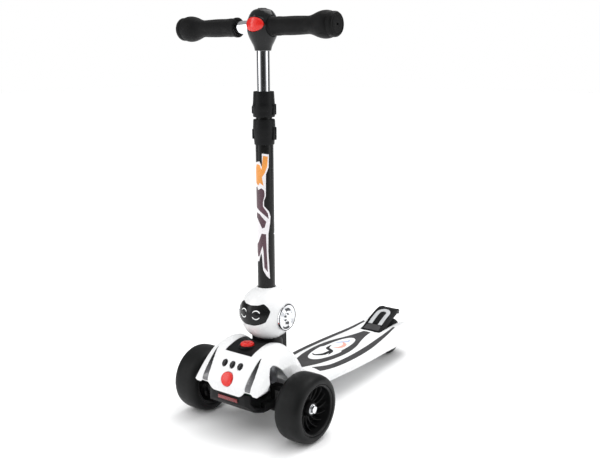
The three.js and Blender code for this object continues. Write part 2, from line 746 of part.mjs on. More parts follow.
function deckShell() {
  const cavity = loft(deckSections(deckWall, deckWall));
  const hollow = cut(deckOuter, cavity);
  const cheekEnd = deckRear - 18;
  const cheeks = [-1, 1].map((sign) => {
    const outer = wellHalfWidth + cheekThickness;
    const sides = [sign * wellHalfWidth, sign * outer].sort((a, b) => a - b);
    return box(...sides, wellFront - 4, cheekEnd, deckUnderside - 8, deckCrown + 8);
  });
  const wallHalf = wellHalfWidth + cheekThickness / 2 + 1;
  const wellWall = box(
    -wallHalf, wallHalf, wellFront - 4, wellFront, deckUnderside - 4, deckCrown + 8);
  const inner = common(join(...cheeks, wellWall), deckOuter);
  const well = box(-wellHalfWidth, wellHalfWidth, wellFront, deckRear + 20, 0, 120);
  const stripePocket = deckInset(stripeOutline(joinGap), inlayDepth + joinGap);
  const pockets = [
    deckInset(inlayOutline(joinGap), inlayDepth + joinGap), stripePocket, mirrored(stripePocket),
  ];
  const axleHole = rod('x', axleRadius + joinGap, -60, 60, [wheelbase, rearWheelRadius]);
  const bore = common(axleHole, box(-40, 40, 0, 600, 0, 100));
  const pinHole = rod(
    'x', brakePinRadius + joinGap, -brakePinHalf - 1, brakePinHalf + 1, [brakePinY, brakePinZ]);
  return cut(join(hollow, inner), well, ...pockets, bore, pinHole);
}

function inlay(outline) {
  return common(deckInset(outline, inlayDepth), deckOuter);
}

function rearAxle() {
  const end = wellHalfWidth + cheekThickness + joinGap;
  return join(
    rod('x', axleRadius, -end - 3, end + 1, [wheelbase, rearWheelRadius]),
    rod('x', 7, end, end + 4, [wheelbase, rearWheelRadius], 6));
}

// ---------------------------------------------------------------- foot brake

// The pedal's upper line over the rear tyre, as distances from the brake pin.
const pedalTop = [
  [-3, 6], [-3, 10], [3, 12.5], [10, 16], [18, 20.5], [31, 27.5], [45, 33.5], [57, 38],
  [67, 41], [75, 41.3], [83, 39], [88, 34], [90, 28],
];

function pedalLine(sink) {
  return pedalTop.map(([y, z], i) => {
    const before = pedalTop[Math.max(i - 1, 0)];
    const after = pedalTop[Math.min(i + 1, pedalTop.length - 1)];
    const length = Math.hypot(after[0] - before[0], after[1] - before[1]);
    const inward = [(after[1] - before[1]) / length, -(after[0] - before[0]) / length];
    return [brakePinY + y + inward[0] * sink, brakePinZ + z + inward[1] * sink];
  });
}

function brakePedal() {
  const plate = prism(
    'x', [...pedalLine(0), ...pedalLine(pedalThickness).reverse()], -pedalHalfWidth, pedalHalfWidth);
  const straight = (line) => line.slice(2, -3);
  const sideSkirt = prism(
    'x', [...straight(pedalLine(0)), ...straight(pedalLine(9)).reverse()],
    pedalHalfWidth - 2.4, pedalHalfWidth);
  const padBottom = 2 * rearWheelRadius + brakeGap;
  const pad = box(-10, 10, wheelbase - 9, wheelbase + 9, padBottom, padBottom + 10);
  const arms = [-1, 1].flatMap((sign) => {
    const sides = [sign * 9, sign * pedalHalfWidth].sort((a, b) => a - b);
    return [
      rod('x', 6, ...sides, [brakePinY, brakePinZ]),
      box(...sides, brakePinY - 3, brakePinY + 5, brakePinZ, brakePinZ + 9.5),
    ];
  });
  const hole = rod('x', brakePinRadius + runGap, -40, 40, [brakePinY, brakePinZ]);
  return cut(join(plate, sideSkirt, mirrored(sideSkirt), pad, ...arms), hole);
}

function brakeGrip() {
  const line = pedalLine(-joinGap).slice(1, 5);
  const raised = pedalLine(-joinGap - 1.6).slice(1, 5);
  return prism('x', [...raised, ...line.reverse()], -pedalHalfWidth + 5, pedalHalfWidth - 5);
}

// A torsion spring round the brake pin, its ends bearing on the pedal and the deck.
function brakeSpring() {
  const turns = 3;
  const coilRadius = 4.9;
  const points = [];
  const steps = turns * 10;
  for (let i = 0; i <= steps; i += 1) {
    const turn = (2 * Math.PI * turns * i) / steps;
    const x = -7 + (14 * i) / steps;
    points.push(new THREE.Vector3(
      x, brakePinY + coilRadius * Math.cos(turn), brakePinZ + coilRadius * Math.sin(turn)));
  }
  const wire = new THREE.Shape(ellipse(0.7, 0.7, [0, 0], 6).map(([a, b]) => new THREE.Vector2(a, b)));
  return new THREE.ExtrudeGeometry(wire, {
    steps,
    bevelEnabled: false,
    extrudePath: new THREE.CatmullRomCurve3(points),
  });
}

// ---------------------------------------------------------------- fairing

// Rows: y, half-width, then the skin's height at the columns below and at the side.
const fairingColumns = [0, 15, 30, 45, 58, 69];
const fairingRows = [
  [-72, 74, 97, 97, 97, 97, 96, 94, 88],
  [-69, 74.5, 105, 105, 105, 104, 102, 98, 90],
  [-60, 75.5, 118, 118, 118, 117, 114, 108, 97],
  [-50, 76.5, 131, 131, 131, 130, 126, 118, 104],
  [-38, 77.5, 143, 143, 143, 143, 138, 128, 112],
  [-20, 78.5, 149, 149, 150, 152, 147, 138, 121],
  [0, 79, 153, 153, 154, 156, 151, 141, 124],
  [20, 78, 151, 151, 152, 154, 149, 138, 122],
  [34, 76, 141, 141, 143, 145, 140, 130, 115],
  [46, 74, 125, 125, 127, 129, 125, 116, 104],
  [58, 72, 109, 109, 109, 109, 105, 98, 90],
  [72, 71.5, 96, 96, 96, 95, 91, 85, 78],
  [90, 71, 84, 84, 84, 83, 79, 75, 70],
  [112, 70, 72, 72, 71.5, 70.5, 68.5, 66, 63],
];

function fairingSections(inset, drop, bottom) {
  return fairingRows.map((row, i) => {
    const half = row[1] - inset;
    const columns = fairingColumns.map((x) => (x * half) / row[1]);
    const heights = row.slice(2).map((height) => height - drop);
    const y = row[0] + (i === 0 ? inset : 0);
    return symmetric(y, [
      ...columns.map((x, c) => [x, heights[c]]),
      [half, heights[6]], [half - 0.6, (heights[6] + bottom) / 2], [half - 2, bottom],
    ]);
  });
}

const fairingOuter = loft(fairingSections(0, 0, 56));
const fairingCavity = loft(fairingSections(fairingWall, 4.2, 40));
const fairingSkin = cut(fairingOuter, fairingCavity);

const lensPoints = [
  [42.5, 93.5], [54.5, 93.5], [54.2, 112], [52.6, 130], [50, 147], [46.4, 130], [43.6, 112],
];
const archPoints = [
  [-90, 30], [-90, 86.5], [-61, 86.5], [-53, 91], [-46, 103], [-41, 120], [-35, 130], [-27, 133],
  [-19, 128], [-11, 119], [0, 105], [14, 92], [36, 82], [45, 70], [47, 30],
];
const neckOpening = 36;

// A placement on the sloping front panel: along its outward normal from a point on its skin.
function onPanel(geometry, y, z, lean) {
  return geometry.rotateX(Math.PI / 2 - lean).translate(0, y, z);
}

const powerButtonAt = [-69.2, 105.5, THREE.MathUtils.degToRad(20)];
const modeButtonAt = [-53.6, 126.8, THREE.MathUtils.degToRad(38)];

// A push button about its own axis, standing 1.6 proud of the panel.
function pushButton(halfX, halfZ, at, x = 0, growth = 0) {
  const proud = growth > 0 ? 8 : 1.6;
  const reach = growth > 0 ? buttonReach + 6 : buttonReach;
  const outline = ellipse(halfX + growth, halfZ + growth);
  const block = prism('z', outline, -reach, proud);
  return onPanel(block, at[0], at[1], at[2]).translate(x, 0, 0);
}

function modeButton(x, growth = 0) {
  return pushButton(4.8, 6.3, modeButtonAt, x, growth);
}

function neckTool(radius, spread) {
  const cylinders = [-spread, 0, spread].map((x) => rod('z', radius, 95, 200, [x, stemY], 28));
  return join(...cylinders);
}

function frontFairing() {
  const trunk = box(-coverHalfWidth, coverHalfWidth, coverFront, stemY, 95, 200);
  const middleFoot = box(-34, 34, -90, -45, 30, 80);
  const slotFoot = box(33, 61, -90, -45, 30, 91);
  const arch = prism('x', archPoints, 50, 100);
  const lens = prism('y', scaledAbout(lensPoints, [49, 115], joinGap), -90, -20);
  const lowFront = box(-50, 50, -60, deckFront - 4, 30, 79);
  const holes = [
    pushButton(powerButtonRadius, powerButtonRadius, powerButtonAt, 0, runGap),
    ...[-1, 0, 1].map((place) => modeButton(place * modeButtonSpacing, runGap)),
  ];
  return cut(
    fairingSkin, trunk, middleFoot, slotFoot, mirrored(slotFoot), arch, mirrored(arch),
    lens, mirrored(lens), lowFront, neckTool(neckOpening, 0), deckGrown, ...holes);
}

function lens() {
  return common(fairingSkin, prism('y', lensPoints, -90, -20));
}

function topCover() {
  const strip = box(
    -coverHalfWidth + joinGap, coverHalfWidth - joinGap, coverFront + joinGap, stemY - 22, 95, 200);
  const plate = common(fairingSkin, strip);
  const buttonHole = rod('z', foldButtonRadius + runGap, 90, 200, [0, foldButtonY], 20);
  return cut(plate, neckTool(neckRadius + 1.2, 5.5), buttonHole);
}

function foldButton() {
  const skin = reading(fairingRows, foldButtonY, 2);
  const profile = [
    [0, skin - 14], [foldButtonRadius, skin - 14], [foldButtonRadius, skin + 3.5],
    [foldButtonRadius - 2, skin + 5.5], [0, skin + 6.2],
  ];
  return turned(profile, 20).translate(0, foldButtonY, 0);
}

// ---------------------------------------------------------------- the scooter

add('deck_shell', deckShell(), whitePlastic);
add('deck_inlay_centre', inlay(inlayOutline(0)), deckGrip);
add('deck_inlay_left', inlay(stripeOutline(0)), deckGrip);
add('deck_inlay_right', mirrored(inlay(stripeOutline(0))), deckGrip);
add('lower_chassis', lowerChassis(), blackPlastic);
add('front_reflector', box(-22, 22, -68.4, -66.8, 66.5, 73), reflectorRed);
add('front_fairing', frontFairing(), whitePlastic);
add('side_lens_left', lens(), smokedLens);
add('side_lens_right', mirrored(lens()), smokedLens);
add('top_cover', topCover(), blackPlastic);
add('steering_base', steeringBase(), steel);
add('lean_pin', rod('y', leanPinRadius, -1, 60, [0, leanAxisZ]), steel);
add('sound_module', box(-22, 22, -50, -30, 66, 106), circuitGreen);
add('power_button', pushButton(powerButtonRadius, powerButtonRadius, powerButtonAt), redPlastic);
['right', 'middle', 'left'].forEach((place, i) => {
  add(`mode_button_${place}`, modeButton((i - 1) * modeButtonSpacing), glossBlack);
});
add('fold_button', foldButton(), redPlastic);

add('rear_axle', rearAxle(), steel);
rearWheel();
add('brake_pin', rod('x', brakePinRadius, -brakePinHalf, brakePinHalf, [brakePinY, brakePinZ]), steel);
add('brake_pedal', brakePedal(), blackPlastic);
add('brake_grip', brakeGrip(), deckGrip);
add('brake_spring', brakeSpring(), steel);

for (const [side, sign] of [['left', 1], ['right', -1]]) {
  const place = (geometry) => (sign > 0 ? geometry : mirrored(geometry));
  add(`kingpin_${side}`, place(kingpin()), steel);
  add(`knuckle_${side}`, place(knuckle()), blackPlastic);
  add(`front_axle_${side}`, place(axleBolt()), chrome);
  frontWheel(side, sign);
}
add('tie_rod', tieRod(), steel);

add('steering_yoke', steeringYoke(), blackPlastic);
add('fold_pin', rod('x', foldPinRadius, -neckRadius + 4, neckRadius - 4, [stemY, foldAxisZ]), steel);
add('stem_foot', stemFoot(), steel);
add('head_front_shell', headShell(-1), whitePlastic);
add('head_rear_shell', headShell(1), whitePlastic);
add('head_visor', visor(), glossBlack);
add('eye_ring_left', eyeRing(1), eyeWhite);
add('eye_ring_right', eyeRing(-1), eyeWhite);
add('ear_left', ear(), chrome);
add('ear_right', mirrored(ear()), chrome);
add('lower_tube', stemPipe(lowerTubeRadius, lowerTubeBottom, lowerTubeTop), blackTube);
add('lower_collar', lowerCollar(), blackPlastic);
add('middle_tube', stemPipe(middleTubeRadius, middleTubeBottom, middleTubeTop), blackTube);
add('upper_collar', upperCollar(), blackPlastic);
add('upper_tube', stemPipe(upperTubeRadius, upperTubeBottom, barZ - upperTubeRadius - 1.2), chrome);

add('hub_shell', hubShell(), blackPlastic);
add('hub_cap', hubBody(capSeam, hubBarTop + 1), glossBlack);
add('hub_button', hubButton(), redPlastic);
add('cross_tube', pipe(
  'x', upperTubeRadius, upperTubeRadius - tubeWall, -crossTubeHalf, crossTubeHalf, [stemY, barZ]), chrome);
add('grip_left', grip().translate(gripHome, 0, 0), gripRubber);
add('grip_right', mirrored(grip().translate(gripHome + gripPulledOut, 0, 0)), gripRubber);

// The origin goes to the middle of the outer box, on the ground.
const outerBox = new THREE.Box3().setFromObject(scooter);
const middle = outerBox.getCenter(new THREE.Vector3());
scooter.position.set(-middle.x, -middle.y, -outerBox.min.z);
const assembly = new THREE.Group();
assembly.add(scooter);
assembly.updateMatrixWorld(true);

export default assembly;
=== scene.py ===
"""The looks of a child's three-wheel kick scooter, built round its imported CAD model.

Shapes are laid out in millimetres from the front axle's midpoint on the ground, facing -Y, and
place() carries them into the model's own frame in metres.
"""
import math

import bmesh
import bpy
from mathutils import Matrix, Vector


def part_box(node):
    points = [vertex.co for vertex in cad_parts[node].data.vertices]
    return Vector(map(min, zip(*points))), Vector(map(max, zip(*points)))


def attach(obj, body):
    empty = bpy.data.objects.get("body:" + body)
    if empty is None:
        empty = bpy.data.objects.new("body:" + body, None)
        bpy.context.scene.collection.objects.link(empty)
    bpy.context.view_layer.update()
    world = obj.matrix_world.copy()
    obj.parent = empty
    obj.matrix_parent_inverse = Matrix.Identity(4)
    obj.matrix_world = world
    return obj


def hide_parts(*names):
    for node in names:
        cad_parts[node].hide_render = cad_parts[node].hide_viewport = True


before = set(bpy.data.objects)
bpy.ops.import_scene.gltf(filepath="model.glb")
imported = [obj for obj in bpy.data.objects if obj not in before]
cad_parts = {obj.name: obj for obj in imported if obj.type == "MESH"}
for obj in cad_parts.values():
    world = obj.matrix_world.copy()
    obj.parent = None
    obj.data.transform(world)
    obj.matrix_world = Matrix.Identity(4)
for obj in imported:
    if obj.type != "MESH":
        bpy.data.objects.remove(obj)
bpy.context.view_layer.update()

MM = 0.001


def middle(node):
    """The middle of a node's box, in the model's frame."""
    low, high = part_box(node)
    return (low + high) / 2


ORIGIN = Vector((middle("deck_shell").x, middle("front_tyre_left").y, 0))


def place(x, y, z):
    """A layout point in the model's frame."""
    return ORIGIN + Vector((x, y, z)) * MM


def span(node, axis):
    """A node's lowest and highest value along an axis, in millimetres of the layout."""
    low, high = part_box(node)
    return (low[axis] - ORIGIN[axis]) / MM, (high[axis] - ORIGIN[axis]) / MM


def size(node, axis):
    low, high = span(node, axis)
    return high - low


def centre_of(node, axis):
    return sum(span(node, axis)) / 2


# ------------------------------------------------------------------ camera

CAMERA_AT = (905.63, -1049.52, 641.88)
CAMERA_AZIMUTH, CAMERA_PITCH, CAMERA_ROLL = (math.radians(v) for v in (37.25, 11.72, -0.38))
CAMERA_LENS = 49.37
CAMERA_SENSOR = 36


def add_camera():
    back = Vector((
        math.sin(CAMERA_AZIMUTH) * math.cos(CAMERA_PITCH),
        -math.cos(CAMERA_AZIMUTH) * math.cos(CAMERA_PITCH),
        math.sin(CAMERA_PITCH)))
    right = Vector((math.cos(CAMERA_AZIMUTH), math.sin(CAMERA_AZIMUTH), 0))
    up = back.cross(right)
    across = right * math.cos(CAMERA_ROLL) + up * math.sin(CAMERA_ROLL)
    over = up * math.cos(CAMERA_ROLL) - right * math.sin(CAMERA_ROLL)
    data = bpy.data.cameras.new("camera")
    data.sensor_width = CAMERA_SENSOR
    data.lens = CAMERA_LENS
    data.clip_start, data.clip_end = 0.05, 30
    camera = bpy.data.objects.new("camera", data)
    bpy.context.scene.collection.objects.link(camera)
    turn = Matrix((across, over, back)).transposed().to_4x4()
    camera.matrix_world = Matrix.Translation(place(*CAMERA_AT)) @ turn
    bpy.context.scene.camera = camera


add_camera()

# ------------------------------------------------------------------ materials


class Nodes:
    """A few shorthands over one material's node tree."""

    def __init__(self, name):
        self.material = bpy.data.materials.new(name)
        self.material.use_nodes = True
        self.tree = self.material.node_tree
        self.shader = self.tree.nodes["Principled BSDF"]
        self.where = self.tree.nodes.new("ShaderNodeTexCoord").outputs["Object"]

    def node(self, kind, **values):
        made = self.tree.nodes.new(kind)
        for key, value in values.items():
            setattr(made, key, value)
        return made

    def link(self, start, end):
        self.tree.links.new(start, end)

    def axes(self):
        made = self.node("ShaderNodeSeparateXYZ")
        self.link(self.where, made.inputs[0])
        return made.outputs

    def noise(self, scale, detail):
        made = self.node("ShaderNodeTexNoise")
        made.inputs["Scale"].default_value = scale
        made.inputs["Detail"].default_value = detail
        self.link(self.where, made.inputs["Vector"])
        return made.outputs["Fac"]

    def cells(self, scale):
        made = self.node("ShaderNodeTexVoronoi")
        made.inputs["Scale"].default_value = scale
        self.link(self.where, made.inputs["Vector"])
        return made.outputs["Distance"]

    def math(self, operation, *values):
        made = self.node("ShaderNodeMath", operation=operation)
        for i, value in enumerate(values):
            if isinstance(value, (int, float)):
                made.inputs[i].default_value = value
            else:
                self.link(value, made.inputs[i])
        return made.outputs["Value"]

    def ranged(self, value, low, high, start=0.3, end=0.7):
        made = self.node("ShaderNodeMapRange")
        made.inputs["From Min"].default_value = start
        made.inputs["From Max"].default_value = end
        made.inputs["To Min"].default_value = low
        made.inputs["To Max"].default_value = high
        self.link(value, made.inputs["Value"])
        return made.outputs["Result"]

    def ramp(self, value, *stops):
        made = self.node("ShaderNodeValToRGB")
        elements = made.color_ramp.elements
        while len(elements) < len(stops):
            elements.new(0.5)
        for element, (position, colour) in zip(elements, stops):
            element.position = position
            element.color = (*colour, 1)
        self.link(value, made.inputs["Fac"])
        return made.outputs["Color"]

    def bump(self, height, strength, depth):
        made = self.node("ShaderNodeBump")
        made.inputs["Strength"].default_value = strength
        made.inputs["Distance"].default_value = depth * MM
        self.link(height, made.inputs["Height"])
        if self.shader.inputs["Normal"].links:
            self.link(self.shader.inputs["Normal"].links[0].from_socket, made.inputs["Normal"])
        self.link(made.outputs["Normal"], self.shader.inputs["Normal"])


def shade(colour, factor):
    """A colour made lighter or darker."""
    return tuple(min(1.0, part * factor) for part in colour)


TONE_SCALE, WEAR_SCALE = 38, 140


def finish_of(name, colour, rough, metal=0.0, coat=0.0, coat_rough=0.05, vary=0.1, grain=None,
              specular=0.5):
    """A surface with a slightly uneven colour and gloss, and a grain of (kind, size, depth)."""
    nodes = Nodes(name)
    shader = nodes.shader
    shader.inputs["Metallic"].default_value = metal
    shader.inputs["Coat Weight"].default_value = coat
    shader.inputs["Coat Roughness"].default_value = coat_rough
    shader.inputs["Specular IOR Level"].default_value = specular
    tone = nodes.noise(TONE_SCALE, 4)
    nodes.link(
        nodes.ramp(tone, (0.3, shade(colour, 1 - vary)), (0.7, shade(colour, 1 + vary))),
        shader.inputs["Base Color"])
    wear = nodes.noise(WEAR_SCALE, 5)
    nodes.link(nodes.ranged(wear, rough[0], rough[1]), shader.inputs["Roughness"])
    if grain:
        kind, grain_size, depth = grain
        scale = 1 / (grain_size * MM)
        nodes.bump(nodes.noise(scale, 2) if kind == "noise" else nodes.cells(scale), 0.5, depth)
    return nodes


WHITE = (0.76, 0.765, 0.77)
INK = (0.0085, 0.009, 0.0095)

white_shell = finish_of(
    "white_moulded", WHITE, (0.2, 0.3), coat=0.35, vary=0.02, grain=("noise", 9, 0.02)).material
black_moulded = finish_of(
    "black_moulded", (0.0062, 0.0064, 0.0068), (0.34, 0.48), vary=0.16, specular=0.14,
    grain=("noise", 0.55, 0.035)).material
black_glossy = finish_of(
    "black_glossy", INK, (0.1, 0.2), coat=0.08, vary=0.12, specular=0.22,
    grain=("noise", 12, 0.02)).material
visor_black = finish_of(
    "visor_black", (0.007, 0.0072, 0.0076), (0.2, 0.3), coat=0.05, vary=0.15, specular=0.2,
    grain=("noise", 14, 0.02)).material
red_glossy = finish_of(
    "red_glossy", (0.66, 0.011, 0.006), (0.2, 0.3), coat=0.2, vary=0.05,
    grain=("noise", 7, 0.02)).material
chromed = finish_of(
    "chromed", (0.74, 0.75, 0.77), (0.05, 0.12), metal=1, vary=0.03,
    grain=("noise", 16, 0.012)).material
zinc = finish_of(
    "zinc", (0.4, 0.41, 0.43), (0.3, 0.46), metal=1, vary=0.12,
    grain=("noise", 0.8, 0.03)).material
tube_paint = finish_of(
    "tube_paint", (0.006, 0.006, 0.0061), (0.24, 0.34), coat=0.05, coat_rough=0.12, vary=0.1,
    specular=0.2, grain=("noise", 6, 0.02)).material
tyre_cast = finish_of(
    "tyre_cast", (0.006, 0.0064, 0.0066), (0.4, 0.52), vary=0.2, specular=0.16,
    grain=("noise", 1.3, 0.03)).material
rim_moulded = finish_of(
    "rim_moulded", (0.0055, 0.0057, 0.006), (0.28, 0.4), vary=0.14, specular=0.26,
    grain=("noise", 0.8, 0.02)).material
non_slip = finish_of(
    "non_slip", (0.046, 0.045, 0.047), (0.78, 0.92), vary=0.16, specular=0.3,
    grain=("cells", 1.1, 0.25)).material
badge_white = finish_of(
    "badge_white", (0.74, 0.75, 0.76), (0.3, 0.42), vary=0.03,
    grain=("noise", 3, 0.02)).material
eye_white = finish_of(
    "eye_white", (0.86, 0.87, 0.87), (0.25, 0.35), vary=0.03, grain=("noise", 4, 0.02)).material
pale_grey = finish_of(
    "pale_grey", (0.42, 0.43, 0.44), (0.5, 0.66), vary=0.1, grain=("cells", 1.2, 0.16)).material
board = finish_of(
    "board", (0.015, 0.075, 0.035), (0.45, 0.6), vary=0.2, grain=("cells", 3, 0.2)).material
print_orange = finish_of(
    "print_orange", (0.72, 0.27, 0.035), (0.24, 0.34), coat=0.3, vary=0.12,
    grain=("noise", 2, 0.01)).material
print_plum = finish_of(
    "print_plum", (0.062, 0.018, 0.032), (0.24, 0.34), coat=0.3, vary=0.25,
    grain=("noise", 2, 0.01)).material
print_white = finish_of(
    "print_white", (0.76, 0.74, 0.76), (0.24, 0.34), coat=0.3, vary=0.04,
    grain=("noise", 2, 0.01)).material
print_blue = finish_of(
    "print_blue", (0.34, 0.4, 0.62), (0.3, 0.4), vary=0.1, grain=("noise", 2, 0.01)).material
print_coral = finish_of(
    "print_coral", (0.72, 0.32, 0.26), (0.3, 0.4), vary=0.1, grain=("noise", 2, 0.01)).material


# radians a metre, and the knurl's number of ridges round the bar
SLAT_WAVES = 1500.0
PRISM_WAVES = 2800.0
KNURL_WAVES = 1500.0
KNURL_STARTS = 22.0


def smoked_material():
    """A smoked lens with a painted reflection at its lower end and faint slats behind it."""
    nodes = finish_of("smoked_with_painted_reflection", (0.02, 0.02, 0.022), (0.07, 0.14), coat=0.7, vary=0.1)
    axes = nodes.axes()
    low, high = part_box("side_lens_left")
    up = nodes.ranged(axes["Z"], 0, 1, low.z, high.z)
    slats = nodes.math("SINE", nodes.math("MULTIPLY", axes["Z"], SLAT_WAVES))
    # painted reflection: the base colour is lighter towards the lens's lower end
    painted_reflection = nodes.ramp(
        up, (0.02, (0.12, 0.12, 0.125)), (0.3, (0.075, 0.075, 0.08)), (0.62, (0.012, 0.012, 0.013)))
    nodes.link(painted_reflection, nodes.shader.inputs["Base Color"])
    nodes.bump(slats, 0.25, 0.12)
    return nodes.material


def reflector_material():
    """A prismatic red reflector: small square pyramids under a clear face."""
    nodes = finish_of("reflector", (0.2, 0.004, 0.007), (0.14, 0.24), coat=0.4, vary=0.2)
    axes = nodes.axes()
    waves = [nodes.math("SINE", nodes.math("MULTIPLY", axes[a], PRISM_WAVES)) for a in "XZ"]
    nodes.bump(nodes.math("MULTIPLY", *waves), 0.6, 0.3)
    return nodes.material


def grip_material():
    """Soft rubber with a fine diamond knurl that runs round the handlebar."""
    nodes = finish_of(
        "grip_rubber", (0.005, 0.0051, 0.0053), (0.46, 0.6), vary=0.15, specular=0.13,
        grain=("noise", 0.7, 0.02))
    axes = nodes.axes()
    bar = middle("cross_tube")
    turn = nodes.math(
        "ARCTAN2", nodes.math("SUBTRACT", axes["Z"], bar.z),
        nodes.math("SUBTRACT", axes["Y"], bar.y))
    around = nodes.math("MULTIPLY", turn, KNURL_STARTS)
    along = nodes.math("MULTIPLY", axes["X"], KNURL_WAVES)
    waves = [nodes.math("SINE", nodes.math(kind, around, along)) for kind in ("ADD", "SUBTRACT")]
    nodes.bump(nodes.math("MULTIPLY", *waves), 0.35, 0.25)
    return nodes.material


smoked_with_painted_reflection = smoked_material()
reflector = reflector_material()
grip_rubber = grip_material()

# ------------------------------------------------------------------ curves and outlines


def soften(points, cut=0.6, steps=3, closed=True):
    """Rounds each corner of a polyline by up to cut."""
    count = len(points)
    made = []
    for i, here in enumerate(points):
        if not closed and i in (0, count - 1):
            made.append(tuple(here))
            continue
        here = Vector(here)
        before, after = Vector(points[i - 1]), Vector(points[(i + 1) % count])
        to_before, to_after = before - here, after - here
        reach = min(cut, to_before.length * 0.45, to_after.length * 0.45)
        if reach < 1e-6:
            made.append(tuple(here))
            continue
        start = here + to_before.normalized() * reach
        end = here + to_after.normalized() * reach
        for k in range(steps + 1):
            t = k / steps
            made.append(tuple(start * (1 - t) ** 2 + here * 2 * t * (1 - t) + end * t * t))
    return made


def resampled(points, step, closed=True):
    """Adds points so that no edge of an outline is longer than step."""
    made = []
    count = len(points)
    for i in range(count if closed else count - 1):
        a, b = Vector(points[i]), Vector(points[(i + 1) % count])
        parts = max(1, math.ceil((b - a).length / step))
        made.extend(tuple(a.lerp(b, k / parts)) for k in range(parts))
    if not closed:
        made.append(tuple(points[-1]))
    return made


def hermite(places, values, at):
    """A smooth reading of values set at increasing places."""
    at = min(max(at, places[0]), places[-1])
    i = max(k for k in range(len(places) - 1) if places[k] <= at)

    def slope(k):
        low, high = max(k - 1, 0), min(k + 1, len(places) - 1)
        return (values[high] - values[low]) / (places[high] - places[low])

    width = places[i + 1] - places[i]
    t = (at - places[i]) / width
    return (
        (2 * t ** 3 - 3 * t ** 2 + 1) * values[i] + (t ** 3 - 2 * t ** 2 + t) * width * slope(i)
        + (3 * t ** 2 - 2 * t ** 3) * values[i + 1] + (t ** 3 - t ** 2) * width * slope(i + 1))


def smooth_line(points, count):
    """A smooth open line through a few points."""
    places = [0.0]
    for a, b in zip(points, points[1:]):
        places.append(places[-1] + (Vector(b) - Vector(a)).length)
    stops = [places[-1] * k / (count - 1) for k in range(count)]
    axes = range(len(points[0]))
    return [tuple(hermite(places, [p[a] for p in points], s) for a in axes) for s in stops]


def ellipse(half_a, half_b, centre=(0, 0), sides=64):
    """An outline's points, counter-clockwise from its first axis."""
    return [
        (centre[0] + half_a * math.cos(2 * math.pi * k / sides),
         centre[1] + half_b * math.sin(2 * math.pi * k / sides)) for k in range(sides)]


# ------------------------------------------------------------------ meshes


SHARP = 34


def put_in_scene(name, mesh):
    made = bpy.data.objects.new(name, mesh)
    bpy.context.scene.collection.objects.link(made)
    return made


def from_faces(name, points, faces, sharp=SHARP):
    """An object from points in layout millimetres, welded, facing outwards and smooth shaded."""
    bm = bmesh.new()
    corners = [bm.verts.new(place(*p)) for p in points]
    for face in faces:
        if len({corners[i] for i in face}) > 2:
            bm.faces.new([corners[i] for i in face])
    bmesh.ops.remove_doubles(bm, verts=bm.verts, dist=1e-6)
    bmesh.ops.dissolve_degenerate(bm, edges=bm.edges, dist=1e-7)
    bmesh.ops.recalc_face_normals(bm, faces=bm.faces)
    mesh = bpy.data.meshes.new(name)
    bm.to_mesh(mesh)
    bm.free()
    return shaded(put_in_scene(name, mesh), sharp)


def shaded(made, sharp=SHARP):
    """Smooth shading with edges kept crisp where faces meet at more than sharp degrees."""
    made.data.shade_smooth()
    made.data.set_sharp_from_angle(angle=math.radians(sharp))
    return made


def applied(made, sharp=SHARP):
    """Makes an object's modifiers part of its mesh."""
    shown = made.evaluated_get(bpy.context.evaluated_depsgraph_get())
    mesh = bpy.data.meshes.new_from_object(shown)
    made.modifiers.clear()
    made.data = mesh
    mesh.name = made.name
    return shaded(made, sharp)


def combined(made, tools, operation, sharp=SHARP):
    """Applies one boolean for each tool, in order, and deletes the tools."""
    for tool in tools:
        modifier = made.modifiers.new("boolean", "BOOLEAN")
        modifier.operation = operation
        modifier.solver = "EXACT"
        modifier.object = tool
    applied(made, sharp)
    for tool in tools:
        bpy.data.objects.remove(tool)
    return made


def carved(made, *tools, sharp=SHARP):
    return combined(made, tools, "DIFFERENCE", sharp)


def bevelled(made, width=0.5, segments=2, limit=40, sharp=SHARP):
    modifier = made.modifiers.new("bevel", "BEVEL")
    modifier.width = width * MM
    modifier.segments = segments
    modifier.limit_method = "ANGLE"
    modifier.angle_limit = math.radians(limit)
    modifier.harden_normals = False
    return applied(made, sharp)


def moulded(made, voxel, smoothing, share):
    """Gives a carved shell the soft edges of a moulding."""
    remesh = made.modifiers.new("remesh", "REMESH")
    remesh.mode = "VOXEL"
    remesh.voxel_size = voxel * MM
    soft = made.modifiers.new("smooth", "SMOOTH")
    soft.factor = 0.5
    soft.iterations = smoothing
    fewer = made.modifiers.new("decimate", "DECIMATE")
    fewer.ratio = share
    return applied(made, 60)


def joined(name, parts):
    """One object from several."""
    bm = bmesh.new()
    for part in parts:
        bm.from_mesh(part.data)
    mesh = bpy.data.meshes.new(name)
    bm.to_mesh(mesh)
    bm.free()
    for material in parts[0].data.materials:
        mesh.materials.append(material)
    for part in parts:
        bpy.data.objects.remove(part)
    return put_in_scene(name, mesh)


def turned(made, axis, degrees, at, pivot=(0, 0, 0)):
    """Turns work made about the pivot and carries the pivot to another layout point."""
    made.data.transform(
        Matrix.Translation(place(*at)) @ Matrix.Rotation(math.radians(degrees), 4, axis)
        @ Matrix.Translation(-place(*pivot)))
    return made


def carried(made, shift, sign):
    """Flips work across X where sign is -1, then shifts it by a vector in millimetres."""
    made.data.transform(
        Matrix.Translation(Vector(shift) * MM) @ Matrix.Translation(ORIGIN)
        @ Matrix.Scale(sign, 4, (1, 0, 0)) @ Matrix.Translation(-ORIGIN))
    if sign < 0:
        made.data.flip_normals()
    return made


def axis_point(axis, radius, turn, along, centre):
    """A point round an axis line; turn 0 points at +Y round X, at +Z round Y and at +X round Z."""
    a, b = radius * math.cos(turn), radius * math.sin(turn)
    x, y, z = centre
    if axis == "x":
        return along + x, y + a, z + b
    if axis == "y":
        return x + b, along + y, z + a
    return x + a, y + b, along + z


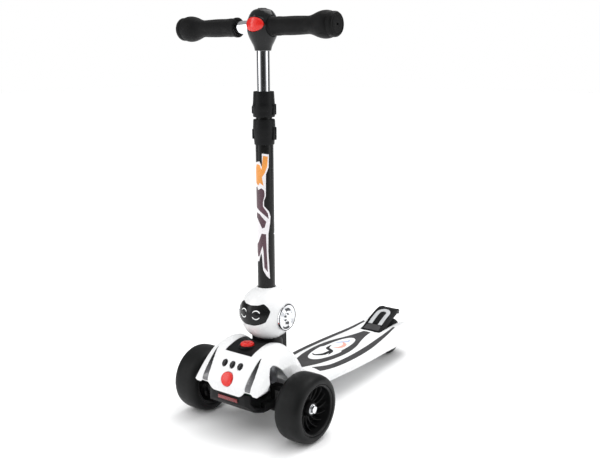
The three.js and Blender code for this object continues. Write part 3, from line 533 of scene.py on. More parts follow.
def loft(name, sections, sharp=SHARP, ring=False):
    """A closed skin over cross-sections of equally many points, capped or joined in a ring."""
    count = len(sections[0])
    points = [p for section in sections for p in section]
    faces = []
    for s in range(len(sections) - (0 if ring else 1)):
        here, there = s * count, (s + 1) % len(sections) * count
        for i in range(count):
            j = (i + 1) % count
            faces.append((here + i, here + j, there + j, there + i))
    if not ring:
        faces.append(tuple(range(count)))
        faces.append(tuple(reversed(range(len(points) - count, len(points)))))
    return from_faces(name, points, faces, sharp)


def lathe(name, profile, axis="z", centre=(0, 0, 0), sides=96, swell=None, sharp=SHARP):
    """A closed [radius, along] profile turned about an axis; swell(turn, along) scales radii."""
    sections = []
    for k in range(sides):
        turn = 2 * math.pi * k / sides
        sections.append([
            axis_point(axis, radius * (swell(turn, along) if swell else 1), turn, along, centre)
            for radius, along in profile])
    return loft(name, sections, sharp, ring=True)


def prism(name, axis, outline, start, end, sharp=SHARP):
    """An outline pushed along an axis. Its points are (x, y) for z, (x, z) for y, (y, z) for x."""
    order = {
        "x": lambda a, b, c: (c, a, b), "y": lambda a, b, c: (a, c, b),
        "z": lambda a, b, c: (a, b, c)}[axis]
    return loft(name, [[order(a, b, c) for a, b in outline] for c in (start, end)], sharp)


def block(name, x0, x1, y0, y1, z0, z1):
    return prism(name, "z", [(x0, y0), (x1, y0), (x1, y1), (x0, y1)], z0, z1)


def disc(name, axis, radius, start, end, centre, sides=64):
    return lathe(name, [(0, start), (radius, start), (radius, end), (0, end)], axis, centre, sides)


def ball(name, radius, centre, sides=96):
    """A ball about Z whose poles close to a point."""
    rings = sides // 2
    profile = [
        (radius * math.sin(math.pi * k / rings), -radius * math.cos(math.pi * k / rings))
        for k in range(rings + 1)]
    return lathe(name, profile, "z", centre, sides)


def patch(name, outline, hub, lay, top, sink=0.6, rings=7, edge=0.35):
    """A thin raised plate over a surface: lay(a, b, height) puts its outline on the surface.
    The outline is seen whole from hub, and the plate's rim rolls down into the surface."""
    count = len(outline)
    reach = min(math.hypot(a - hub[0], b - hub[1]) for a, b in outline)
    rim = min(0.3, edge / reach)
    steps = [(k / rings * (1 - rim), top) for k in range(1, rings + 1)]
    steps += [(1 - rim * 0.3, top - edge * 0.3), (1, top - edge), (1, -sink)]
    points = [lay(*hub, top)]
    for share, height in steps:
        points.extend(
            lay(hub[0] + (a - hub[0]) * share, hub[1] + (b - hub[1]) * share, height)
            for a, b in outline)
    faces = [(0, 1 + i, 1 + (i + 1) % count) for i in range(count)]
    for ring in range(len(steps) - 1):
        for i in range(count):
            j = (i + 1) % count
            here = 1 + ring * count
            faces.append((here + i, here + j, here + count + j, here + count + i))
    last = 1 + (len(steps) - 1) * count
    points.append(lay(*hub, -sink))
    faces += [(len(points) - 1, last + (i + 1) % count, last + i) for i in range(count)]
    return from_faces(name, points, faces, 50)


def strip(name, first, second, lay, section, sharp=50):
    """A raised band between two lines; its section has (share of the width, height) points."""
    return loft(name, [
        [lay(a[0] + (b[0] - a[0]) * share, a[1] + (b[1] - a[1]) * share, height)
         for share, height in section] for a, b in zip(first, second)], sharp)


def narrow_section(top, sink=0.5):
    """A raised band's section with rounded edges, for strip()."""
    return [(0, -sink), (0, top * 0.4), (0.25, top), (0.75, top), (1, top * 0.4), (1, -sink)]


def fitted(made, material, body, slot, *nodes):
    """Gives a piece its material and its body, and hides the CAD nodes that it stands for."""
    made.data.materials.clear()
    made.data.materials.append(material)
    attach(made, body)
    if nodes:
        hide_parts(*nodes)
    return made


def refined(node, material, body, slot, width=0.5):
    """A CAD node with its edges rounded."""
    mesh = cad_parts[node].data.copy()
    made = put_in_scene(f"{node}_finished", mesh)
    bm = bmesh.new()
    bm.from_mesh(mesh)
    bmesh.ops.remove_doubles(bm, verts=bm.verts, dist=1e-6)
    bmesh.ops.dissolve_limit(bm, angle_limit=math.radians(1), verts=bm.verts, edges=bm.edges)
    bm.to_mesh(mesh)
    bm.free()
    bevelled(made, width)
    return fitted(made, material, body, slot, node)


def repainted(material, *nodes):
    """Gives CAD nodes that stay in view a better material."""
    for node in nodes:
        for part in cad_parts[node].material_slots:
            part.material = material


# ------------------------------------------------------------------ wheels

SPOKES = 16
SPOKE_STEPS = 10
HUB_IN, HUB_OUT = -21, 15
BEAD_GAP = 0.3


def tyre_profile(radius, width, bead):
    """A wide tyre's section with rounded shoulders and a thin raised lip at each bead."""
    half = width / 2
    steps = 44
    flat = bead + 2
    outer = []
    for k in range(steps + 1):
        turn = math.pi * k / steps
        reach = abs(math.cos(turn)) ** 0.55 * math.copysign(1, math.cos(turn))
        rise = math.sin(turn) ** 0.75
        outer.append((flat + (radius - flat) * rise, -half * reach))
    lip = [(bead + 0.8, half - 0.7), (bead, half - 2.2)]
    return outer + lip + [(a, -b) for a, b in reversed(lip)]


def rim_parts(radius, width, hub_in, hub_out, spoke_at):
    """A dished rim round X: a barrel with rolled lips, a stepped hub and swept blade spokes."""
    half = width / 2 - 1.5
    inner = radius - 3.4
    barrel = lathe("barrel", soften([
        (radius, -half), (radius, half), (radius - 1.2, half + 0.4), (inner, half - 1.5),
        (inner - 0.6, spoke_at + 7), (inner - 0.6, spoke_at - 7), (inner, 1.5 - half),
        (radius - 1.2, -half - 0.4)], 0.8), "x", sides=128)
    hub = lathe("hub", soften([
        (9.3, hub_in), (12.2, hub_in), (13.5, hub_in + 2), (13.5, hub_out - 5), (11.6, hub_out - 1),
        (11, hub_out), (9.3, hub_out)], 0.6), "x", sides=72)
    spokes = []
    for number in range(SPOKES):
        sections = []
        for k in range(SPOKE_STEPS + 1):
            t = k / SPOKE_STEPS
            out = 12.4 + (inner + 0.8 - 12.4) * t
            swing = 2 * math.pi * number / SPOKES + 0.42 * t * t
            thick = 1.5 - 0.5 * math.sin(math.pi * t)
            front = spoke_at + 6.5 + 5.5 * t * t - 3.5 * (1 - t)
            back = spoke_at - 7 + 2 * t
            ring = [
                (front, 0.35), (front - 1, 1), (back + 1, 1), (back, 0.35),
                (back, -0.35), (back + 1, -1), (front - 1, -1), (front, -0.35)]
            sections.append([
                (x, out * math.cos(swing) - side * thick * math.sin(swing),
                 out * math.sin(swing) + side * thick * math.cos(swing)) for x, side in ring])
        spokes.append(loft("spoke", sections))
    return joined("rim", [barrel, hub, *spokes])


def bearing_profile(hub_in, hub_out):
    """A bearing seen end on: outer race, dark shield groove, inner race."""
    def side(face, inward):
        return [(9, face + inward * 0.5), (8.4, face), (7, face), (6.8, face + inward * 0.7),
                (5.6, face + inward * 0.7), (5.4, face), (4.3, face)]
    return side(hub_in + 0.5, 1) + list(reversed(side(hub_out - 0.5, -1)))


def add_wheel(end, body, nodes, sign, hub_in, hub_out, spoke_at, sides):
    """A tyre, rim and bearing set on the middle of their tyre's node."""
    tyre_node, rim_node, bearing_node = nodes
    shift = [centre_of(tyre_node, axis) for axis in range(3)]
    width, radius = size(tyre_node, 0), size(tyre_node, 2) / 2
    rim_radius = size(rim_node, 2) / 2
    pieces = (
        ("tyre", lathe("tyre", tyre_profile(radius, width, rim_radius + BEAD_GAP), "x",
                       sides=sides[0]), tyre_cast, "tyre_black", tyre_node),
        ("rim", rim_parts(rim_radius, width, hub_in, hub_out, spoke_at), rim_moulded,
         "black_plastic", rim_node),
        ("bearing", lathe("bearing", soften(bearing_profile(hub_in, hub_out), 0.25), "x",
                          sides=sides[1]), chromed, "chrome", bearing_node))
    for kind, piece, material, slot, node in pieces:
        piece.name = piece.data.name = f"{kind}_{end}"
        fitted(shaded(carried(piece, shift, sign)), material, body, slot, node)
    return shift


def add_wheels():
    for side, sign in (("left", 1), ("right", -1)):
        nodes = [f"front_{kind}_{side}" for kind in ("tyre", "rim", "bearing")]
        shift = add_wheel(
            f"front_{side}", f"front_wheel_{side}", nodes, sign, HUB_IN, HUB_OUT, 2, (144, 72))
        washer = lathe(f"washer_front_{side}", soften([
            (4.3, HUB_OUT - 0.1), (7.6, HUB_OUT - 0.1), (7.6, HUB_OUT + 0.2),
            (4.3, HUB_OUT + 0.2)], 0.1), "x", sides=48)
        fitted(shaded(carried(washer, shift, sign)), chromed, f"knuckle_{side}", "chrome")
    half = size("rear_rim", 0) / 2
    nodes = ["rear_tyre", "rear_rim", "rear_bearing"]
    add_wheel("rear", "rear_wheel", nodes, 1, -half, half, 0, (128, 64))


add_wheels()

# ------------------------------------------------------------------ head

STEM_Y = 42
HEAD_Z = 198
HEAD_R = 49.5
EAR_SEAT = 41.5
EAR_R = 24
EAR_Z = HEAD_Z - 2.5


def on_head(lift):
    """Lays (x, z) points on the front of the head, lift over its skin."""
    def lay(x, z, height):
        radius = HEAD_R + lift + height
        depth = math.sqrt(max(radius * radius - x * x - (z - HEAD_Z) ** 2, 0))
        return x, STEM_Y - depth, z
    return lay


def head_half(name, near, far):
    """Half of a hollow ball with a flat seat for each ear and a hole for the stem."""
    shell = ball(name, HEAD_R, (0, STEM_Y, HEAD_Z), 128)
    tube_r = size("lower_tube", 0) / 2
    seats = [disc("seat", "x", EAR_R + 0.4, *sorted((s * (EAR_SEAT - 0.4), s * 60)),
                  (0, STEM_Y, EAR_Z)) for s in (-1, 1)]
    shell = carved(
        shell, ball("hollow", HEAD_R - 2.5, (0, STEM_Y, HEAD_Z), 64), *seats,
        disc("bore", "z", tube_r + 0.3, HEAD_Z, HEAD_Z + 70, (0, STEM_Y, 0)),
        disc("foot", "z", 14, HEAD_Z - 70, HEAD_Z, (0, STEM_Y, 0)))
    keep = block("keep", -70, 70, STEM_Y + near, STEM_Y + far, HEAD_Z - 70, HEAD_Z + 70)
    return bevelled(combined(shell, [keep], "INTERSECT"), 0.25, 2, 50)


def add_head():
    seam = 0.12
    halves = (
        ("head_front", -70, -seam, "head_front_shell"), ("head_rear", seam, 70, "head_rear_shell"))
    for name, near, far, node in halves:
        fitted(head_half(name, near, far), white_shell, "stem", "white_plastic", node)
    tube_r = size("lower_tube", 0) / 2
    top = HEAD_Z + math.sqrt(HEAD_R ** 2 - (tube_r + 3) ** 2)
    lip = lathe("head_lip", soften([
        (tube_r + 0.3, top - 3), (tube_r + 4.6, top - 3), (tube_r + 3.6, top + 0.9),
        (tube_r + 2.6, top + 1.7), (tube_r + 0.3, top + 1.7)], 0.9), "z", (0, STEM_Y, 0))
    fitted(lip, white_shell, "stem", "white_plastic")

    half = [
        (0, 22.6), (14, 23.6), (22.4, 26.6), (29.6, 21.4), (35, 14), (33.4, 5), (29.5, -4.8),
        (21, -9.2), (10, -12.4)]
    outline = half + [(-x, z) for x, z in reversed(half[1:])]
    shape = resampled(soften([(x, z + HEAD_Z) for x, z in outline], 2.2, 4), 1.6)
    visor = patch("visor", shape, (0, HEAD_Z + 7), on_head(0), 0.55, 1.2, 16, 0.45)
    fitted(visor, visor_black, "stem", "gloss_black", "head_visor")

    for side, sign in (("left", 1), ("right", -1)):
        centre = (sign * 13.6, HEAD_Z + 7.4)
        arcs = []
        for middle_turn in (90, 270):
            path = []
            for k in range(25):
                turn = math.radians(middle_turn - 62 + 124 * k / 24)
                width = 0.85 * min(1.0, 3.5 * min(k, 24 - k) / 24 + 0.45)
                path.append((turn, width))
            outer = [
                (centre[0] + (7.4 + w) * math.cos(t), centre[1] + (7.4 + w) * math.sin(t))
                for t, w in path]
            inner = [
                (centre[0] + (7.4 - w) * math.cos(t), centre[1] + (7.4 - w) * math.sin(t))
                for t, w in reversed(path)]
            arcs.append(strip(
                "eye", outer, list(reversed(inner)), on_head(0.5), narrow_section(0.45)))
        eye = joined(f"eye_{side}", arcs)
        fitted(shaded(eye, 50), eye_white, "stem", "eye_white", f"eye_ring_{side}")
        pupil = patch(f"pupil_{side}", ellipse(4.6, 4.6, centre, 40), centre, on_head(0.5), 0.35)
        fitted(pupil, black_glossy, "stem", "gloss_black")

    for side, sign in (("left", 1), ("right", -1)):
        ear = carried(ear_disc(f"ear_cap_{side}"), (0, 0, 0), sign)
        fitted(shaded(ear, 18), chromed, "stem", "chrome", f"ear_{side}")
        ring = lathe(f"ear_ring_{side}", soften([
            (EAR_R - 1.8, sign * 44.9), (EAR_R - 0.3, sign * 44.9), (EAR_R - 0.3, sign * 47),
            (EAR_R - 1.8, sign * 47.2)], 0.5), "x", (0, STEM_Y, EAR_Z))
        fitted(ring, black_moulded, "stem", "black_plastic")


EAR_SIDES = 12
EAR_RIM_SIDES = 4 * EAR_SIDES
# radius, rise over the seat and turn in facets, from the seat's rim to the boss
EAR_RIM = [(EAR_R, 0, 0), (EAR_R, 4.4, 0), (EAR_R - 1, 5.1, 0), (EAR_R - 3.2, 4.9, 0)]
EAR_FACETS = [(17.5, 3.2, 0.5), (12.5, 5.6, 0), (8.2, 4, 0.5), (5, 6.6, 0), (0.01, 7.3, 0)]


def ear_disc(name):
    """A cut-glass disc about X: a plain edge, then a dished face of facets round a raised boss."""
    rings = [(ring, EAR_RIM_SIDES) for ring in EAR_RIM] + [(ring, EAR_SIDES) for ring in EAR_FACETS]
    points, starts = [], []
    for (radius, rise, offset), count in rings:
        starts.append(len(points))
        for k in range(count):
            turn = 2 * math.pi * (k + offset) / count
            points.append(axis_point(
                "x", radius, turn, EAR_SEAT + rise, (0, STEM_Y, EAR_Z)))
    faces = [tuple(range(EAR_RIM_SIDES))]
    for here, there in zip(starts[:3], starts[1:4]):
        for k in range(EAR_RIM_SIDES):
            j = (k + 1) % EAR_RIM_SIDES
            faces.append((here + k, here + j, there + j, there + k))
    for k in range(EAR_SIDES):
        edge = [starts[3] + (4 * k + 2 + i) % EAR_RIM_SIDES for i in range(5)]
        here, there = starts[4] + k, starts[4] + (k + 1) % EAR_SIDES
        faces += [(edge[0], edge[1], here), (edge[1], edge[2], here), (edge[2], there, here),
                  (edge[2], edge[3], there), (edge[3], edge[4], there)]
    for ring in range(4, len(rings) - 1):
        outward = rings[ring][0][2] > 0
        for k in range(EAR_SIDES):
            j = (k + 1) % EAR_SIDES
            a, b = starts[ring] + k, starts[ring] + j
            c, d = starts[ring + 1] + k, starts[ring + 1] + j
            faces += [(a, b, d), (a, d, c)] if outward else [(a, b, c), (b, d, c)]
    return from_faces(name, points, faces, 18)


add_head()

# ------------------------------------------------------------------ stem and collars


TUBE_WALL = 1.1


def pipe(name, node, axis, centre):
    """A tube in a node's place, along an axis, with rolled ends."""
    low, high = span(node, "xyz".index(axis))
    outer = size(node, 1) / 2
    inner = outer - TUBE_WALL
    return lathe(name, soften([(inner, low), (outer, low), (outer, high), (inner, high)], 0.35),
                 axis, centre)


def on_tube(radius):
    """Lays (degrees from the front, z) points on the stem; positive degrees are to its left."""
    def lay(degrees, z, height):
        turn = math.radians(degrees)
        reach = radius + height
        return reach * math.sin(turn), STEM_Y - reach * math.cos(turn), z
    return lay


def printed(name, outline, lay, top, sink=0.15, step=5):
    """A thin printed film: any closed outline, cut finely across and laid on a curved surface."""
    bm = bmesh.new()
    corners = [bm.verts.new((a, b, 0)) for a, b in outline]
    edges = [bm.edges.new((corners[i - 1], corners[i])) for i in range(len(corners))]
    bmesh.ops.triangle_fill(bm, edges=edges, use_beauty=True)
    low, high = min(a for a, _ in outline), max(a for a, _ in outline)
    for number in range(math.ceil(low / step), math.floor(high / step) + 1):
        bmesh.ops.bisect_plane(
            bm, geom=[*bm.verts, *bm.edges, *bm.faces], plane_co=(number * step, 0, 0),
            plane_no=(1, 0, 0))
    bm.verts.index_update()
    flat = [(v.co.x, v.co.y) for v in bm.verts]
    count = len(flat)
    points = [lay(a, b, top) for a, b in flat] + [lay(a, b, -sink) for a, b in flat]
    faces = [tuple(v.index for v in face.verts) for face in bm.faces]
    faces += [tuple(count + i for i in reversed(face)) for face in faces]
    rim = [tuple(v.index for v in edge.verts) for edge in bm.edges if edge.is_boundary]
    faces += [(a, b, b + count, a + count) for a, b in rim]
    bm.free()
    return from_faces(name, points, faces, 50)


def add_stem():
    tubes = (
        ("lower", tube_paint, "stem", "black_tube"),
        ("middle", tube_paint, "middle_stem", "black_tube"),
        ("upper", chromed, "handlebar", "chrome"))
    for name, material, body, slot in tubes:
        tube = pipe(f"tube_{name}", f"{name}_tube", "z", (0, STEM_Y, 0))
        fitted(tube, material, body, slot, f"{name}_tube")
    cross = pipe("tube_cross", "cross_tube", "x", (0, STEM_Y, centre_of("cross_tube", 2)))
    fitted(cross, chromed, "handlebar", "chrome", "cross_tube")

    low, high = span("lower_collar", 2)
    lower = [
        (15.9, low), (17, low), (17.4, low + 1), (18.1, low + 12), (18.4, low + 13),
        (19.2, low + 24), (19.35, low + 28), (18.9, high - 3), (18.2, high), (14.4, high),
        (14.4, high - 25), (15.9, high - 25)]
    fitted(collar("collar_lower", lower, low + 8, low + 30), black_moulded, "lower_collar",
           "black_plastic", "lower_collar")
    low, high = span("upper_collar", 2)
    upper = [
        (14.4, low), (18.4, low), (18.9, low + 2), (19.1, low + 9), (19.8, low + 15),
        (19.8, low + 19), (18.8, low + 23), (17.7, high - 1), (17.2, high), (11.4, high),
        (11.4, high - 4), (14.4, high - 4)]
    fitted(collar("collar_upper", upper, low + 4, low + 22), black_moulded, "upper_collar",
           "black_plastic", "upper_collar")

    radius = size("lower_tube", 0) / 2
    base = [
        (-52, 455), (-38, 467), (-20, 469), (4, 470), (22, 460), (22, 484), (67, 482), (64, 460),
        (46, 448), (44, 425), (43, 410), (31, 402), (31, 393), (62, 383), (73, 374), (69, 363),
        (56, 343), (54, 312), (63, 262), (41, 268), (18, 279), (12, 303), (6, 309), (-14, 293),
        (-29, 293), (-46, 301), (-52, 330), (-60, 360), (-58, 400), (-48, 428)]
    flame = [
        (-46, 452), (-25, 465), (4, 464.5), (18, 456), (29, 480), (60, 478.5), (56, 462), (38, 450),
        (20, 443), (30, 428), (15, 431), (4, 433), (-9, 428), (-20, 430), (-42, 434)]
    shards = (
        [(-44, 424), (-21, 426), (-12, 420), (15, 424), (34, 420), (36, 411), (24, 400), (24, 392),
         (55, 380), (60, 370), (24, 379), (-17, 387), (-50, 390)],
        [(-3, 379), (44, 365), (33, 355), (16, 353), (5, 359), (-19, 369), (-50, 373), (-44, 381)],
        [(12, 344), (41, 343), (44, 312), (49, 275), (27, 283), (23, 312), (17, 322), (-10, 302),
         (-28, 302), (-40, 312), (-34, 324), (-14, 328), (2, 338)])
    lay = on_tube(radius)
    fitted(printed("print_base", base, lay, 0.05), print_white, "stem", "eye_white")
    fitted(printed("print_flame", flame, lay, 0.1), print_orange, "stem", "red_plastic")
    for number, outline in enumerate(shards):
        fitted(printed(f"print_shard_{number}", outline, lay, 0.1), print_plum, "stem",
               "gloss_black")
    pin = bevelled(disc("stem_pin", "y", 2.4, -1, 1.2, (0, 0, 0), 32), 0.4)
    fitted(turned(pin, "Z", 110, lay(110, 343, 0)), chromed, "stem", "chrome")


def collar(name, profile, low, high):
    """A clamping collar with two raised lugs, a split between them and a rib at the front."""
    parts = [lathe(name, soften(profile, 0.8), "z", (0, STEM_Y, 0), 96)]
    for degrees in (96, 118):
        lug = turned(block("lug", -2.2, 2.2, -21.4, -16.8, low, high), "Z", degrees, (0, STEM_Y, 0))
        parts.append(bevelled(lug, 1.1, 3))
    rib = turned(
        block("rib", -6.2, 6.2, -20.3, -17, low + 2, high - 3), "Z", -58, (0, STEM_Y, 0))
    parts.append(bevelled(rib, 1.2, 3))
    return shaded(joined(name, parts))


add_stem()

# ------------------------------------------------------------------ handlebar


HUB_BORE = 11.3
SEAT_RADIUS = 17.5
BUTTON_SIDES = 96


def add_hub(bar_z):
    """The hub in two halves, its plate, and the push button sunk in a rimmed pocket."""
    low = span("hub_shell", 2)[0]
    seam, top = span("hub_cap", 2)
    whole = [(0, low)] + smooth_line([
        (13.8, low), (15.6, low + 7), (19.4, bar_z - 25), (24.4, bar_z - 14), (26.5, bar_z - 3),
        (26.3, bar_z + 7), (22.8, seam), (21.6, seam + 2.5), (16.4, top - 4), (8, top - 0.9),
        (0, top)], 60)

    def body_part(name, bottom, ceiling):
        keep = block("keep", -60, 60, STEM_Y - 60, STEM_Y + 60, bottom, ceiling)
        return combined(lathe(name, whole, "z", (0, STEM_Y, 0), 128), [keep], "INTERSECT")

    button_z = centre_of("hub_button", 2)
    half_w, half_h = size("hub_button", 0) / 2 + 0.3, size("hub_button", 2) / 2 - 1.2
    on_bar = (0, STEM_Y, bar_z)
    seats = [disc("seat", "x", SEAT_RADIUS, *sorted((s * 17.5, s * 60)), on_bar) for s in (-1, 1)]
    shell = carved(
        body_part("hub_body", low - 1, seam - 0.3),
        disc("bore", "x", HUB_BORE, -60, 60, on_bar),
        disc("bore", "z", HUB_BORE, low - 5, bar_z, (0, STEM_Y, 0)), *seats,
        prism("pocket", "y", ellipse(half_w + 0.4, half_h + 0.4, (0, button_z)), -20,
              STEM_Y - 12.5))
    fitted(shell, black_glossy, "handlebar", "black_plastic", "hub_shell")
    cap = body_part("hub_top", seam, top + 1)
    fitted(cap, black_glossy, "handlebar", "gloss_black", "hub_cap")
    plate = lathe("hub_plate", soften([
        (0, top - 1.6), (8.6, top - 1.6), (8.2, top - 0.3), (7.2, top + 0.1), (0, top + 0.3)],
        0.4, closed=False), "z", (0, STEM_Y, 0), 6, sharp=20)
    fitted(plate, black_moulded, "handlebar", "black_plastic")

    front, back = span("hub_button", 1)
    ball_radius = STEM_Y - front - 1
    grip_front = STEM_Y - 17.2

    def sunk(x, z):
        """How far the face has curved back at a place beside the button's middle."""
        return 0.85 * (ball_radius - math.sqrt(ball_radius ** 2 - x * x - z * z))

    def dome(x, z, height):
        return x, back if height < 0 else front + 1 + sunk(x, z - button_z) - height, z

    button = patch(
        "button_hub", ellipse(half_w, half_h, (0, button_z), BUTTON_SIDES), (0, button_z), dome,
        0.9, 1, 14, 0.9)
    fitted(button, red_glossy, "hub_button", "red_plastic", "hub_button")
    section = [(0.5, 5.2), (0.7, -0.1), (1.3, -0.9), (2.2, -0.6), (2.8, 0.6), (3, 5.2)]
    rings = []
    for k in range(BUTTON_SIDES):
        turn = 2 * math.pi * k / BUTTON_SIDES
        beside = [((half_w + out) * math.cos(turn), (half_h + out) * math.sin(turn), deep)
                  for out, deep in section]
        rings.append([(x, min(front + 2 + sunk(x, z) + deep, grip_front), button_z + z)
                      for x, z, deep in beside])
    fitted(loft("button_rim", rings, ring=True), black_glossy, "handlebar", "black_plastic")


def soft_facets(length):
    """Four faint flats along the middle of a grip, as a swell for lathe()."""
    def swell(turn, along):
        blend = min(max((along - 8) / 10, 0), 1) * min(max((length - 54 - along) / 12, 0), 1)
        return 1 + blend * (0.035 * math.cos(4 * turn + 0.6) + 0.012 * math.cos(8 * turn))
    return swell


def add_grips(bar_z):
    length = size("grip_left", 0)
    bore = 11.4
    bore_end = size("cross_tube", 0) / 2 - 15.3
    flange = soften([(16.2, 0), (16.7, 0.8), (16.7, 5), (15.4, 6.2)], 0.5, closed=False)
    bulb = smooth_line([
        (15.4, 7), (15.1, 18), (14.6, 26), (14.8, 48), (14.3, length - 62), (14.8, length - 52),
        (16.9, length - 44), (19.8, length - 36), (21.8, length - 28), (22.3, length - 21),
        (21.6, length - 15), (20.6, length - 12)], 60)
    cap = soften([(r, length - back) for r, back in (
        (19.6, 11), (19.6, 10), (20.3, 9), (20, 3.2), (18.2, 0.4), (15.6, 0), (15, 0.8),
        (14.2, 0.8), (13.6, 0), (2.6, 0), (2, 0.6), (1.9, 7))], 0.5, closed=False)
    profile = [(bore, 0), *flange, *bulb, *cap, (0, length - 7), (0, bore_end), (bore, bore_end)]
    for side, sign in (("left", 1), ("right", -1)):
        grip = lathe(f"grip_rubber_{side}", profile, "x", (0, STEM_Y, bar_z), 112,
                     soft_facets(length))
        inner_end = span(f"grip_{side}", 0)[0 if sign > 0 else 1]
        carried(grip, (inner_end, 0, 0), sign)
        fitted(shaded(grip, 30), grip_rubber, f"grip_{side}", "grip_rubber", f"grip_{side}")


add_hub(centre_of("cross_tube", 2))
add_grips(centre_of("cross_tube", 2))

# ------------------------------------------------------------------ deck

DECK_FRONT, DECK_REAR = 62, 500
DECK_HALF = 67
DECK_UNDER = 44
# share of the length, half-width share, heights of crown, stripe, shoulder and edge, skirt drop
DECK_ROWS = [
    (0, 0.9, 24, 20.5, 19, 16, 0), (0.11, 0.92, 24, 20.5, 19, 16, 0),
    (0.25, 0.97, 24, 20.5, 19, 16, 0), (0.4, 1, 24, 20.5, 19, 16, 1),
    (0.55, 0.96, 24, 21, 20, 17, 3.5), (0.7, 0.87, 24, 23, 22.5, 19, 7),
    (0.78, 0.83, 24.5, 26, 26, 22, 9), (0.86, 0.8, 25, 30, 30.5, 26, 11),
    (0.92, 0.73, 24, 29, 29.5, 25, 11), (0.97, 0.6, 20, 24, 25, 20, 7),
    (1, 0.42, 17, 20, 20, 16, 0)]


def table_reading(rows, at):
    """A table's smooth values at a place in its first column."""
    places, *columns = zip(*rows)
    return [hermite(places, values, at) for values in columns]


def deck_half_section(share, inset=0.0, drop=0.0, under=None):
    """Half of the deck's section from its crown out to the foot of its skirt."""
    wide, crown, stripe, shoulder, edge, skirt = table_reading(DECK_ROWS, share)
    half = DECK_HALF * wide - inset
    base = DECK_UNDER - drop
    low = DECK_UNDER - skirt if under is None else under
    knots = [
        (0, base + crown), (half * 0.3, base + crown - 0.4),
        (half * 0.55, base + (crown + stripe) / 2 + 0.6), (half * 0.74, base + stripe),
        (half * 0.9, base + shoulder), (half * 0.985, base + edge), (half, base + edge - 6)]
    return smooth_line(knots, 26) + [(half * 0.985, (base + edge - 6 + low) / 2),
                                     (half * 0.975, low)]


def deck_solid(name, inset=0.0, drop=0.0, under=None, rows=84):
    """The deck's whole form, or a smaller one inside it for a hollow or a limit."""
    sections = []
    for k in range(rows + 1):
        share = k / rows
        half = deck_half_section(share, inset, drop, under)
        y = DECK_FRONT + share * (DECK_REAR - DECK_FRONT)
        y += inset if k == 0 else -inset if k == rows else 0
        sections.append(
            [(x, y, z) for x, z in half] + [(-x, y, z) for x, z in reversed(half) if x > 0])
    return loft(name, sections)


def deck_height(x, y):
    """The height of the deck's skin."""
    share = min(max((y - DECK_FRONT) / (DECK_REAR - DECK_FRONT), 0), 1)
    half = deck_half_section(share)
    for (x0, z0), (x1, z1) in zip(half, half[1:]):
        if x0 <= abs(x) <= x1:
            return z0 + (z1 - z0) * (abs(x) - x0) / max(x1 - x0, 1e-6)
    return half[-1][1]


def on_deck(lift=0.0):
    def lay(x, y, height):
        return x, y, deck_height(x, y) + lift + height
    return lay


WELL_HALF = 25.5
WELL_FRONT = 385.5
DECK_WALL = 3.2
RIB_HALF = 1.1


def add_deck():
    shell = deck_solid("deck")
    hollow = deck_solid("hollow", DECK_WALL, DECK_WALL, 10)
    well = block("well", -WELL_HALF, WELL_HALF, WELL_FRONT, 540, 0, 130)
    shell = carved(shell, hollow)
    cheeks = [block("cheek", *sorted((s * WELL_HALF, s * (WELL_HALF + 7))), WELL_FRONT - 4, 482,
                    DECK_UNDER - 8, 90) for s in (-1, 1)]
    wall = block("wall", -30, 30, WELL_FRONT - 4, WELL_FRONT, DECK_UNDER - 4, 90)
    ribs = [
        block("rib", x - RIB_HALF, x + RIB_HALF, DECK_FRONT + 3, WELL_FRONT - 3, DECK_UNDER + 8, 90)
        for x in (-22, 22)]
    ribs += [block("rib", -60, 60, y - RIB_HALF, y + RIB_HALF, DECK_UNDER + 8, 90)
             for y in range(130, 370, 44)]
    inner = [combined(part, [deck_solid("limit", 0.8, 0.8, 30, 40)], "INTERSECT")
             for part in (*cheeks, wall, *ribs)]
    shell = combined(shell, inner, "UNION")
    axle, pin = ((0, centre_of(node, 1), centre_of(node, 2)) for node in ("rear_tyre", "brake_pin"))
    shell = carved(
        shell, well, disc("bore", "x", 4.3, -40, 40, axle, 32),
        disc("bore", "x", 3.3, -35, 35, pin, 32))
    fitted(moulded(shell, 1.15, 3, 0.5), white_shell, "frame", "white_plastic", "deck_shell")
    add_inlays()
    add_badge()


def add_inlays():
    rows = [(128, 12), (160, 25), (200, 34), (245, 37), (285, 32), (320, 21), (350, 13), (377, 8.5)]
    right = smooth_line([(half, y) for y, half in rows], 60)
    outline = right + [(-x, y) for x, y in reversed(right)]
    spine = 246
    inlay = patch("inlay_centre", resampled(outline, 5), (0, spine), on_deck(), 0.55, 0.8, 20, 0.4)
    fitted(inlay, non_slip, "frame", "deck_grip", "deck_inlay_centre")
    stripe = [(140, 27, 47), (158, 37, 53), (180, 44, 57.5), (235, 47, 60.5), (300, 44.5, 58),
              (370, 38.5, 48.5), (424, 35.5, 40.5)]
    low, high = stripe[0][0], stripe[-1][0]
    stops = [low + (high - low) * k / 90 for k in range(91)]
    for side, sign in (("left", 1), ("right", -1)):
        inner, outer = zip(*(
            [(sign * x, y) for x in table_reading(stripe, y)] for y in stops))
        band = strip(f"inlay_{side}", inner, outer, on_deck(), wide_section(0.55))
        fitted(band, non_slip, "frame", "deck_grip", f"deck_inlay_{side}")


